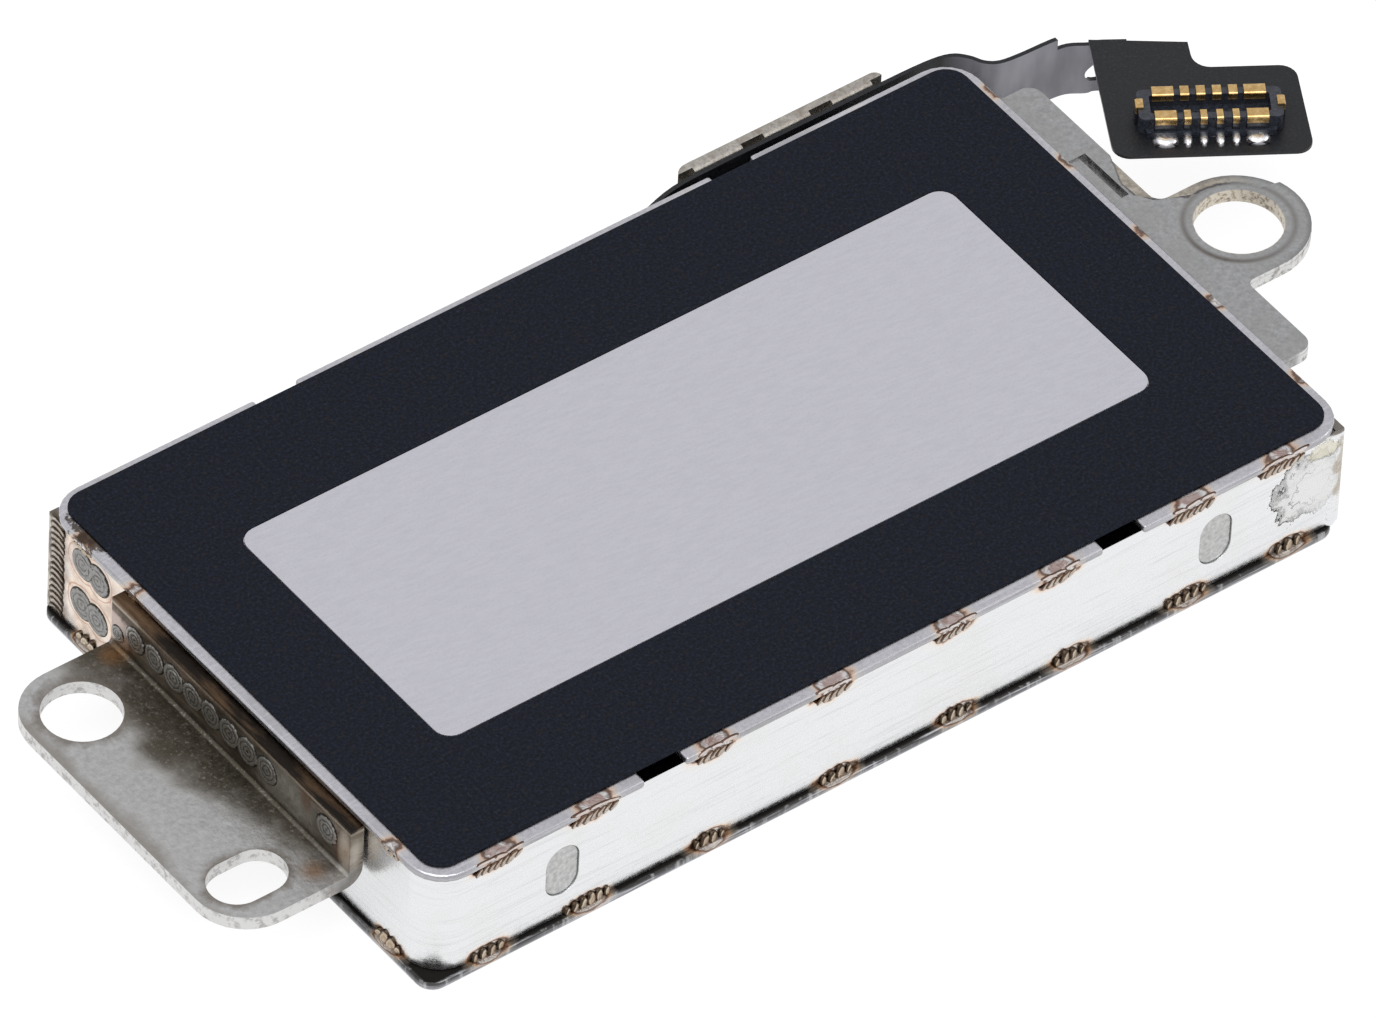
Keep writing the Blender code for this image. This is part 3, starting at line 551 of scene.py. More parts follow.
# the foot, in millimetres: its hole, its slot's row of circles, and where it is scorched
footLook = {
    "hole": (-14.45, 2.69, 0.0), "holeRadius": 0.91,
    "slot": [(x, -3.34, 0.0) for x in (-14.76, -14.48, -14.2)], "slotRadius": 0.66,
    "scorch": (-14.15, -12.9), "scorchSlant": 0.13, "dirtyRim": (-15.35, -15.7),
    "cutSide": (-12.9, -13.3), "warm": [(-13.2, -4.0, 1.7), (-12.9, 3.7, 1.7)],
    "flangeFrom": (1.78, 1.9), "bandFrom": (2.60, 2.68), "topFrom": (2.93, 2.98),
    "brimHighlight": (2.86, 2.90, 2.93, 2.97),
    "pale": (-12.7, -2.3, 2.2), "blush": (-12.7, 4.15, 2.2), "endHighlight": (-12.55, -4.35, 2.25),
    "rust": [(-12.7, -2.95, 2.75), (-12.7, -4.2, 2.2)],
}


# the foot's upright flange: olive and brown, blushed at its rear end
def flangeTone(tree, point, patch, grain):
    look = footLook
    drawn = cloud(tree, spot(tree, (1, 0.7, 4.5)), 1.0, 5, 0.65)
    tone = mix(tree, remap(tree, patch, 0.38, 0.6), (0.26, 0.225, 0.18), (0.11, 0.09, 0.068))
    tone = mix(tree, remap(tree, drawn, 0.52, 0.68, 0.0, 0.55), tone, (0.42, 0.36, 0.29))
    tone = mix(tree, remap(tree, drawn, 0.46, 0.34, 0.0, 0.7), tone, (0.06, 0.045, 0.035))
    blush = ragged(tree, nearest(tree, point, [look["blush"]], (1.0, 0.75, 0.62)), grain, 0.12)
    tone = mix(tree, remap(tree, blush, 1.05, 0.85, 0.0, 0.85), tone, (0.56, 0.46, 0.42))
    band = remap(tree, axisOf(tree, point, "Y"), -1.2, 0.6, 0.15, 0.85)
    band = times(tree, remap(tree, axisOf(tree, point, "Z"), *look["bandFrom"]), band)
    brown = mix(tree, remap(tree, drawn, 0.4, 0.6), (0.05, 0.037, 0.026), (0.13, 0.09, 0.06))
    tone = mix(tree, band, tone, brown)
    pale = nearest(tree, point, [look["pale"]], (1.0, 1.3, 0.8))
    tone = mix(tree, remap(tree, pale, 1.1, 0.4, 0.0, 0.85), tone, (0.40, 0.39, 0.355))
    rust = nearest(tree, point, look["rust"], (1.0, 0.25, 0.55))
    return mix(tree, remap(tree, rust, 1.1, 0.5, 0.0, 0.6), tone, (0.17, 0.085, 0.045))


# the foot: smooth grey sheet, scorched dark towards the bend
def footSteel():
    look = footLook
    material, tree, shader = shaderOf("footSteel", (0.5, 0.5, 0.5), 1.0, 0.38)
    point = spot(tree)
    grain = cloud(tree, point, 8.0, 5, 0.6)
    fine = cloud(tree, point, 30.0, 3, 0.6)
    patch = cloud(tree, point, 0.55, 5, 0.5)
    across, along, height = (axisOf(tree, point, axis) for axis in "XYZ")
    tone = mix(tree, remap(tree, grain, 0.34, 0.68), (0.52, 0.515, 0.51), (0.40, 0.395, 0.39))
    tone = mix(tree, remap(tree, fine, 0.6, 0.75, 0.0, 0.35), tone, (0.22, 0.215, 0.21))
    slant = combine(tree, across, times(tree, along, look["scorchSlant"]))
    heat = remap(tree, ragged(tree, slant, patch, 0.75), *look["scorch"])
    scorched = ramp(tree, heat, [
        (0.0, (0.50, 0.495, 0.49)), (0.3, (0.37, 0.36, 0.345)), (0.6, (0.21, 0.195, 0.175)),
        (0.82, (0.13, 0.115, 0.095)), (1.0, (0.10, 0.088, 0.068)),
    ])
    speck = remap(tree, cloud(tree, point, 13.0, 3, 0.65), 0.56, 0.68, 0.0, 0.5)
    scorched = mix(tree, speck, scorched, (0.36, 0.34, 0.31))
    tone = mix(tree, remap(tree, heat, 0.0, 0.3), tone, scorched)
    # dirt round the hole and the slot, and along the outer edge
    endless = 1000.0
    hole = nearest(tree, point, [look["hole"]], (look["holeRadius"], look["holeRadius"], endless))
    slot = nearest(tree, point, look["slot"], (look["slotRadius"], look["slotRadius"], endless))
    smudge = remap(tree, cloud(tree, point, 2.2, 5, 0.6), 0.3, 0.7, -0.16, 0.2)
    rims = combine(tree, combine(tree, hole, slot, "MINIMUM"), smudge)
    tone = mix(tree, remap(tree, rims, 1.30, 1.04, 0.0, 0.75), tone, (0.18, 0.155, 0.13))
    border = remap(tree, ragged(tree, across, patch, 0.3), *look["dirtyRim"], 0.0, 0.7)
    tone = mix(tree, border, tone, (0.26, 0.235, 0.205))
    # bright cut sides, and a warm tint by the slot
    cutSide = times(tree, remap(tree, levelness(tree), 0.5, 0.3), remap(tree, across, *look["cutSide"]))
    cutTone = mix(tree, speckOf(tree, 5.0), (0.66, 0.655, 0.65), (0.42, 0.41, 0.40))
    tone = mix(tree, cutSide, tone, cutTone)
    warm = nearest(tree, point, look["warm"], (0.42, 0.42, 0.6))
    tone = mix(tree, remap(tree, warm, 1.0, 0.2, 0.0, 0.7), tone, (0.30, 0.16, 0.07))
    # the flange, its burnt top, a painted highlight line under it and a painted highlight on its front
    # end
    flange = flangeTone(tree, point, patch, grain)
    tone = mix(tree, remap(tree, height, *look["flangeFrom"]), tone, flange)
    top = remap(tree, ragged(tree, height, grain, 0.04), *look["topFrom"])
    burnt = remap(tree, cloud(tree, spot(tree, (2.4, 0.4, 1)), 1.0, 5, 0.6), 0.46, 0.7)
    tone = mix(tree, top, tone, mix(tree, burnt, (0.022, 0.018, 0.015), (0.19, 0.115, 0.065)))
    # painted highlight on the flange's front end
    endHighlight = nearest(tree, point, [look["endHighlight"]], (0.30, 0.30, 0.75))
    tone = mix(tree, remap(tree, endHighlight, 1.0, 0.6, 0.0, 0.8), tone, (0.66, 0.60, 0.52))
    # painted highlight along the chamfer under the flange's top
    start, full, fade, end = look["brimHighlight"]
    brimHighlight = times(tree, remap(tree, height, start, full), remap(tree, height, end, fade))
    brimHighlight = times(tree, brimHighlight, remap(tree, patch, 0.35, 0.6, 0.2, 0.9))
    tone = mix(tree, brimHighlight, tone, (0.42, 0.35, 0.27))
    setBase(tree, shader, tone)
    setRough(tree, shader, remap(tree, grain, 0.3, 0.7, 0.3, 0.5))
    dents = cloud(tree, spot(tree, (3, 3, 0.6)), 1.0, 3)
    setBump(tree, shader, (grain, 0.005), (fine, 0.003), (dents, 0.02))
    return material


# the lug, in millimetres: its hole, coined ring, cable slot and the line where its top steps down
lugLook = {
    "hole": (14.416, -0.529, 0.0), "bore": (1.035, 1.005), "seat": 1.24, "earRadius": 1.34,
    "slope": (0.63, 0.777), "stepLine": 9.368, "stepX": 13.06, "climbFrom": 1.95, "climb": 0.42,
    "tan": (15.6, 14.9), "brown": (13.3, -1.1, 3.0), "cutSide": (12.85, 13.0),
    "rim": (1.46, 1.58), "rimAcross": (14.0, 14.8),
    "slot": (12.62, 2.33, 2.80), "slotRadii": (0.33, 0.9, 0.14), "seam": (12.50, 12.44),
}


# how far beyond the step's line a spot lies: the line runs by the slot, then round the ear
def beyondStep(tree, across, along, away):
    look = lugLook
    slopeX, slopeY = look["slope"]
    beyond = combine(tree, times(tree, across, slopeX), times(tree, along, slopeY))
    beyond = combine(tree, beyond, look["stepLine"], "SUBTRACT")
    past = combine(tree, combine(tree, along, look["climbFrom"], "SUBTRACT"), 0.0, "MAXIMUM")
    strip = combine(tree, across, look["stepX"], "SUBTRACT")
    strip = combine(tree, strip, times(tree, past, look["climb"]), "SUBTRACT")
    beyond = combine(tree, beyond, strip, "MINIMUM")
    return combine(tree, beyond, combine(tree, away, look["earRadius"], "SUBTRACT"), "MINIMUM")


# the lug: grey mottled top, coined ring at the hole, tan below the step and in the hole
def lugSteel():
    look = lugLook
    material, tree, shader = shaderOf("lugSteel", (0.5, 0.5, 0.5), 1.0, 0.4)
    point = spot(tree)
    grain = cloud(tree, point, 9.0, 5, 0.65)
    fine = cloud(tree, point, 26.0, 3, 0.6)
    patch = cloud(tree, point, 1.1, 4)
    across, along = axisOf(tree, point, "X"), axisOf(tree, point, "Y")
    tone = mix(tree, remap(tree, grain, 0.34, 0.68), (0.43, 0.43, 0.435), (0.29, 0.29, 0.29))
    tone = mix(tree, remap(tree, fine, 0.56, 0.74, 0.0, 0.4), tone, (0.22, 0.22, 0.22))
    tone = mix(tree, remap(tree, patch, 0.45, 0.65, 0.0, 0.4), tone, (0.32, 0.315, 0.30))
    away = nearest(tree, point, [look["hole"]], (1.0, 1.0, 1000.0))
    beyond = ragged(tree, beyondStep(tree, across, along, away), grain, 0.02)
    blotch = remap(tree, cloud(tree, point, 5.0, 5, 0.7), 0.4, 0.6)
    tan = mix(tree, blotch, (0.56, 0.50, 0.41), (0.30, 0.255, 0.20))
    fade = remap(tree, across, *look["tan"])
    tone = mix(tree, times(tree, remap(tree, beyond, 0.0, 0.05, 0.0, 0.75), fade), tone, tan)
    # painted shade: a dark line along the step's edge
    line = times(tree, remap(tree, beyond, -0.05, 0.0), remap(tree, beyond, 0.07, 0.02))
    line = times(tree, line, fade)
    tone = mix(tree, times(tree, line, 0.85), tone, (0.06, 0.055, 0.055))
    # the coined ring drawn as a line of painted shade, browner on its inner side
    ringShade = combine(tree, combine(tree, away, look["seat"], "SUBTRACT"), 0.0, "ABSOLUTE")
    ringShade = combine(tree, ringShade, remap(tree, grain, 0.3, 0.7, -0.015, 0.03))
    side = remap(tree, nearest(tree, point, [look["brown"]], (1.0, 1.0, 1.0)), 1.7, 0.3, 0.45, 0.9)
    tone = mix(tree, times(tree, remap(tree, ringShade, 0.11, 0.02), side), tone, (0.135, 0.115, 0.10))
    # painted shade darkens the ear's rolled rim outside, and the lug's cut sides are light
    rim = times(tree, remap(tree, away, *look["rim"]), remap(tree, across, *look["rimAcross"]))
    tone = mix(tree, times(tree, rim, 0.55), tone, (0.16, 0.16, 0.165))
    cutSide = times(tree, remap(tree, levelness(tree), 0.5, 0.3), remap(tree, across, *look["cutSide"]))
    cutTone = mix(tree, speckOf(tree, 5.0), (0.66, 0.655, 0.65), (0.34, 0.33, 0.31))
    tone = mix(tree, cutSide, tone, cutTone)
    boreTone = mix(tree, speckOf(tree, 9.0), (0.62, 0.56, 0.46), (0.26, 0.21, 0.16))
    tone = mix(tree, remap(tree, away, *look["bore"]), tone, boreTone)
    # painted shadow: black inside the cable slot
    slot = nearest(tree, point, [look["slot"]], look["slotRadii"])
    tone = mix(tree, remap(tree, slot, 1.0, 0.9, 0.0, 0.95), tone, (0.02, 0.02, 0.022))
    seam = times(tree, remap(tree, across, *look["seam"]), remap(tree, patch, 0.35, 0.55, 0.2, 0.8))
    tone = mix(tree, seam, tone, (0.16, 0.13, 0.11))
    setBase(tree, shader, tone)
    setRough(tree, shader, remap(tree, grain, 0.3, 0.7, 0.3, 0.5))
    setBump(tree, shader, (grain, 0.006), (fine, 0.003))
    return material


# the clip's beige sheet, sooty towards its low end
def clipSteel():
    material, tree, shader = shaderOf("clipSteel", (0.5, 0.5, 0.5), 1.0, 0.4)
    point = spot(tree)
    grain = cloud(tree, point, 7.0, 5, 0.6)
    tone = mix(tree, remap(tree, grain, 0.34, 0.66), (0.56, 0.53, 0.48), (0.38, 0.355, 0.32))
    sootAndShade = remap(tree, cloud(tree, point, 1.3, 4), 0.45, 0.65, 0.0, 0.7)
    tone = mix(tree, sootAndShade, tone, (0.24, 0.20, 0.165))
    tone = mix(tree, times(tree, speckOf(tree, 16.0), 0.4), tone, (0.15, 0.13, 0.11))
    setBase(tree, shader, tone)
    setRough(tree, shader, remap(tree, grain, 0.3, 0.7, 0.32, 0.5))
    setBump(tree, shader, (grain, 0.006))
    return material


def labelFilm():
    material, tree, shader = shaderOf(
        "labelFilm", (0.007, 0.009, 0.013), 0.0, 0.5, Specular_IOR_Level=0.095
    )
    point = spot(tree)
    grain = cloud(tree, point, 13.0, 3, 0.75)
    hue = cloud(tree, point, 7.0, 2, 0.6)
    base = ramp(tree, grain, [
        (0.30, (0.0015, 0.002, 0.004)), (0.48, (0.004, 0.0053, 0.010)), (0.60, (0.0075, 0.010, 0.0175)),
        (0.78, (0.022, 0.025, 0.036)),
    ])
    base = mix(tree, remap(tree, hue, 0.58, 0.72, 0.0, 0.45), base, (0.016, 0.012, 0.010))
    base = mix(tree, remap(tree, hue, 0.42, 0.28, 0.0, 0.5), base, (0.005, 0.008, 0.019))
    setBase(tree, shader, base)
    setRough(tree, shader, remap(tree, grain, 0.3, 0.7, 0.42, 0.6))
    setBump(tree, shader, (grain, 0.002))
    return material


# silver print with faint short hairlines and tiny specks
def windowFilm():
    silver = (0.44, 0.435, 0.475)
    material, tree, shader = shaderOf("windowFilm", silver, 0.4, 0.42, Specular_IOR_Level=0.3)
    hair = cloud(tree, spot(tree, (2.4, 11, 1), 0.1), 1.0, 3, 0.6)
    grain = cloud(tree, spot(tree), 16.0, 3, 0.6)
    base = mix(tree, remap(tree, hair, 0.35, 0.68), (0.445, 0.44, 0.48), (0.415, 0.41, 0.45))
    base = mix(tree, remap(tree, grain, 0.5, 0.78, 0.0, 0.55), base, (0.35, 0.345, 0.39))
    setBase(tree, shader, base)
    setBump(tree, shader, (hair, 0.0015), (grain, 0.001))
    return material


flexLook = {"black": (0.014, 0.015, 0.017), "paintedSheenY": (4.6, 5.2), "paintedSheenX": (12.2, 12.9)}


# black coverlay: satin on the flat tail, with a painted grey sheen on the standing ribbon's sides
def flexFilm():
    look = flexLook
    material, tree, shader = shaderOf("flexFilm", look["black"], 0.0, 0.4, Specular_IOR_Level=0.3)
    point = spot(tree)
    grain = cloud(tree, point, 16.0, 3)
    streak = cloud(tree, spot(tree, (1.2, 1.2, 0.4)), 1.0, 3)
    side = remap(tree, levelness(tree), 0.5, 0.2)
    side = times(tree, side, remap(tree, axisOf(tree, point, "Y"), *look["paintedSheenY"]))
    side = times(tree, side, remap(tree, axisOf(tree, point, "X"), *look["paintedSheenX"]))
    base = ramp(tree, grain, [
        (0.3, (0.004, 0.0045, 0.006)), (0.55, (0.0075, 0.008, 0.010)), (0.8, (0.018, 0.019, 0.022)),
    ])
    paintedSheen = mix(tree, remap(tree, streak, 0.35, 0.65), (0.25, 0.25, 0.275), (0.16, 0.16, 0.18))
    setBase(tree, shader, mix(tree, side, base, paintedSheen))
    setRough(tree, shader, remap(tree, streak, 0.35, 0.65, 0.3, 0.42))
    setBump(tree, shader, (grain, 0.002), (streak, 0.01))
    return material


def plugPlastic():
    name = "plugPlastic"
    material, tree, shader = shaderOf(name, (0.012, 0.014, 0.020), 0.0, 0.3, Specular_IOR_Level=0.55)
    grain = cloud(tree, spot(tree), 12.0, 3)
    base = ramp(tree, grain, [(0.35, (0.008, 0.010, 0.015)), (0.7, (0.026, 0.030, 0.043))])
    setBase(tree, shader, base)
    setRough(tree, shader, remap(tree, grain, 0.3, 0.7, 0.22, 0.4))
    setBump(tree, shader, (grain, 0.005))
    return material


goldLook = {"bend": 3.12, "sunk": 3.08}


def contactGold():
    material, tree, shader = shaderOf("contactGold", (0.85, 0.60, 0.24), 1.0, 0.25)
    grain = cloud(tree, spot(tree), 9.0, 3)
    base = ramp(tree, grain, [
        (0.3, (0.50, 0.32, 0.12)), (0.55, (0.66, 0.44, 0.19)), (0.8, (0.84, 0.62, 0.33)),
    ])
    # below the bend the legs sink into the dark plastic
    sunk = remap(tree, axisOf(tree, spot(tree), "Z"), goldLook["bend"], goldLook["sunk"])
    base = mix(tree, sunk, base, (0.012, 0.014, 0.020))
    tree.links.new(remap(tree, sunk, 0.0, 1.0, 1.0, 0.0), shader.inputs["Metallic"])
    setBase(tree, shader, base)
    setRough(tree, shader, remap(tree, grain, 0.3, 0.7, 0.2, 0.3))
    setBump(tree, shader, (grain, 0.002))
    return material


# metal or film with grain of its own scale
def plainMetal(
    name, base, roughness, scale=6.0, depth=0.004, metallic=1.0, share=0.35, stretch=(1, 1, 1)
):
    material, tree, shader = shaderOf(name, base, metallic, roughness)
    grain = cloud(tree, spot(tree, stretch), scale, 4, 0.6)
    darker = tuple((1 - share) * c for c in base)
    setBase(tree, shader, mix(tree, remap(tree, grain, 0.35, 0.65), base, darker))
    setRough(tree, shader, remap(tree, grain, 0.3, 0.7, roughness * 0.8, roughness * 1.3))
    setBump(tree, shader, (grain, depth))
    return material


# where the sealed holes are along the wall, and the circles that their outlines are made of
sealLook = {"centres": (-8.78, 8.87), "radius": 0.44, "heights": (1.33, 1.59, 1.85)}


# a sealed hole's steel, darker along its outline
def sealSteel():
    look = sealLook
    material, tree, shader = shaderOf("sealSteel", (0.6, 0.6, 0.6), 1.0, 0.4)
    point = spot(tree)
    grain = cloud(tree, point, 9.0, 4, 0.6)
    tone = mix(tree, remap(tree, grain, 0.35, 0.66), (0.56, 0.56, 0.555), (0.40, 0.40, 0.395))
    circles = [(x, wallFront, z) for x in look["centres"] for z in look["heights"]]
    shape = nearest(tree, point, circles, (look["radius"], 50.0, look["radius"]))
    tone = mix(tree, remap(tree, shape, 0.90, 0.99, 0.0, 0.75), tone, (0.22, 0.22, 0.215))
    setBase(tree, shader, tone)
    setRough(tree, shader, remap(tree, grain, 0.3, 0.7, 0.34, 0.52))
    setBump(tree, shader, (grain, 0.012))
    return material


def stored(tree, name):
    return add(tree, "ShaderNodeAttribute", attribute_name=name).outputs["Fac"]


# Cast weld metal. rim runs from 0 in a scale's middle to 1 at its edge; tone varies the scales.
def weldMetal(name, light, mid, edge, warm=(0.34, 0.22, 0.14), share=0.5):
    material, tree, shader = shaderOf(name, light, 1.0, 0.3)
    rim, tone = stored(tree, "rim"), stored(tree, "tone")
    grain = cloud(tree, spot(tree), 9.0, 4)
    wobbly = ragged(tree, rim, grain, 0.10)
    base = ramp(tree, wobbly, [(0.0, light), (0.40, mid), (0.70, light), (0.86, edge), (1.0, edge)])
    tinted = mix(tree, remap(tree, tone, 0.0, 1.0, 0.0, share), base, warm)
    base = mix(tree, remap(tree, wobbly, 0.70, 0.84), tinted, base)
    setBase(tree, shader, base)
    setRough(tree, shader, remap(tree, grain, 0.3, 0.7, 0.22, 0.44))
    setBump(tree, shader, (grain, 0.008))
    return material


# weld spots: rings all the way out
def ringMetal(name, light, dark, edge):
    material, tree, shader = shaderOf(name, light, 1.0, 0.36)
    rim = stored(tree, "rim")
    grain = cloud(tree, spot(tree), 10.0, 4)
    wobbly = ragged(tree, rim, grain, 0.07)
    base = ramp(tree, wobbly, [
        (0.0, dark), (0.12, light), (0.26, light), (0.33, dark), (0.40, light), (0.56, light),
        (0.62, dark), (0.68, light), (0.86, light), (0.93, edge), (1.0, edge),
    ])
    base = mix(tree, remap(tree, grain, 0.5, 0.68, 0.0, 0.5), base, dark)
    setBase(tree, shader, base)
    setRough(tree, shader, remap(tree, grain, 0.3, 0.7, 0.28, 0.48))
    setBump(tree, shader, (grain, 0.01))
    return material


looks = {
    "wall": wallSteel(),
    "cover": coverSteel(),
    "plate": plateSteel(),
    "foot": footSteel(),
    "lug": lugSteel(),
    "clip": clipSteel(),
    "plug": sealSteel(),
    "label": labelFilm(),
    "window": windowFilm(),
    "flex": flexFilm(),
    "housing": plugPlastic(),
    "gold": contactGold(),
    "stiffener": plainMetal("stiffenerSheet", (0.02, 0.02, 0.022), 0.5, metallic=0.0),
    "solder": weldMetal(
        "solder", (0.86, 0.86, 0.88), (0.70, 0.70, 0.72), (0.34, 0.33, 0.34), (0.6, 0.6, 0.62)
    ),
    "bead": weldMetal("beadMetal", (0.70, 0.64, 0.56), (0.48, 0.42, 0.36), (0.12, 0.07, 0.045)),
    "footBead": weldMetal("footBeadMetal", (0.66, 0.57, 0.45), (0.38, 0.32, 0.25), (0.07, 0.05, 0.035)),
    "melt": weldMetal(
        "meltMetal", (0.78, 0.76, 0.76), (0.60, 0.56, 0.54), (0.12, 0.07, 0.05), (0.50, 0.34, 0.26)
    ),
    "seam": weldMetal(
        "seamMetal", (0.50, 0.46, 0.40), (0.27, 0.235, 0.20), (0.05, 0.035, 0.025), share=0.25
    ),
    "disc": ringMetal("discMetal", (0.28, 0.275, 0.265), (0.10, 0.097, 0.092), (0.035, 0.028, 0.022)),
    "flangeDisc": ringMetal(
        "flangeDiscMetal", (0.32, 0.31, 0.29), (0.055, 0.05, 0.045), (0.015, 0.012, 0.010)
    ),
    "tungsten": plainMetal("tungsten", (0.36, 0.36, 0.37), 0.42, 12.0),
    "nickel": plainMetal("magnetNickel", (0.72, 0.71, 0.68), 0.2, 5.0, 0.003, share=0.15),
    "pole": plainMetal("poleSteel", (0.60, 0.60, 0.60), 0.3),
    "spring": plainMetal("springSteel", (0.60, 0.59, 0.57), 0.28, 1.0, 0.004, stretch=(1, 1, 20)),
    "copper": plainMetal("coilCopper", (0.80, 0.42, 0.24), 0.32, 3.0, 0.02),
    "carrier": plainMetal("carrierFilm", (0.45, 0.22, 0.05), 0.35, 4.0, 0.003, metallic=0.0),
    "foam": plainMetal("foam", (0.035, 0.035, 0.035), 0.85, 14.0, 0.02, metallic=0.0),
}
print("materials:", len(looks))


# Pieces

# puts a mesh made in millimetres into the scene as a piece that rides on a body
def addPiece(name, mesh, look, body, nodes=()):
    mesh.transform(Matrix.Scale(mm, 4))
    mesh.name = name
    mesh.materials.clear()
    mesh.materials.append(looks[look])
    piece = bpy.data.objects.new(name, mesh)
    bpy.context.scene.collection.objects.link(piece)
    if body:
        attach(piece, body)
    if nodes:
        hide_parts(*nodes)
    return piece


# the object's mesh with its modifiers applied; the object itself goes
def evaluated(obj):
    bpy.context.view_layer.update()
    graph = bpy.context.evaluated_depsgraph_get()
    mesh = bpy.data.meshes.new_from_object(obj.evaluated_get(graph))
    bpy.data.objects.remove(obj, do_unlink=True)
    return mesh


# a CAD node's solid in millimetres, with its loose triangles merged back into faces
def mergedCopy(node):
    builder = bmesh.new()
    builder.from_mesh(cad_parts[node].data)
    bmesh.ops.scale(builder, vec=(1 / mm,) * 3, verts=builder.verts)
    bmesh.ops.remove_doubles(builder, verts=builder.verts, dist=0.0005)
    bmesh.ops.dissolve_limit(
        builder, angle_limit=math.radians(0.6), verts=builder.verts, edges=builder.edges
    )
    mesh = bpy.data.meshes.new(node)
    builder.to_mesh(mesh)
    builder.free()
    return mesh


# a copy of a CAD node with its sharp edges rounded, as stamped and plated metal has them
def softEdged(node, width, segments=2, angle=32):
    solid = mergedCopy(node)
    solid.shade_smooth()
    solid.set_sharp_from_angle(angle=math.radians(angle))
    obj = bpy.data.objects.new("working", solid)
    bpy.context.scene.collection.objects.link(obj)
    edge = obj.modifiers.new("edge", "BEVEL")
    edge.width = width
    edge.segments = segments
    edge.limit_method = "ANGLE"
    edge.angle_limit = math.radians(angle)
    edge.use_clamp_overlap = True
    edge.harden_normals = True
    weighted = obj.modifiers.new("flat faces stay flat", "WEIGHTED_NORMAL")
    weighted.weight = 100
    weighted.keep_sharp = False
    return evaluated(obj)


# piece: CAD node, look, slot, edge radius in millimetres
edgeRadii = {
    "basePlate": ("bottom_cover", "plate", "casing_steel", 0.05),
    "frontLeftWall": ("wall_front_left", "wall", "casing_steel", 0.03),
    "rearRightWall": ("wall_rear_right", "wall", "casing_steel", 0.03),
    "lid": ("top_cover", "cover", "cover_steel", 0.06),
    "labelFrame": ("label_border", "label", "label_black", 0.012),
    "labelWindow": ("label_window", "window", "label_silver", 0.012),
    "leftPlug": ("access_plug_left", "plug", "bracket_steel", 0.03),
    "rightPlug": ("access_plug_right", "plug", "bracket_steel", 0.03),
    "footBracket": ("left_bracket", "foot", "bracket_steel", 0.035),
    "screwLug": ("right_lug", "lug", "bracket_steel", 0.035),
    "cableClip": ("rear_clip", "clip", "bracket_steel", 0.025),
    "flexTail": ("flex_cable", "flex", "flex_black", 0.015),
    "tailStiffener": ("connector_stiffener", "stiffener", "bracket_steel", 0.02),
    "plugBody": ("connector_housing", "housing", "plug_black", 0.02),
}
# the plugs fill their holes in the wall, with no gap
plugGrowth = (1.05, 1.0, 1.03, 1.0)
for pieceName, (node, look, slotName, width) in edgeRadii.items():
    mesh = softEdged(node, width)
    if look == "plug":
        corner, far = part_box(node)
        middle = Matrix.Translation((corner + far) / 2 / mm)
        mesh.transform(middle @ Matrix.Diagonal(plugGrowth) @ middle.inverted())
    addPiece(pieceName, mesh, look, "casing", [node])
for node in list(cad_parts):
    if "contact" in node or "plug_anchor" in node:
        addPiece("gold_" + node, softEdged(node, 0.018), "gold", "casing", [node])
print("sheet metal, film and connector")


# Geometry Nodes tree that sets one shape on every point of a mesh. Points carry turn and size.

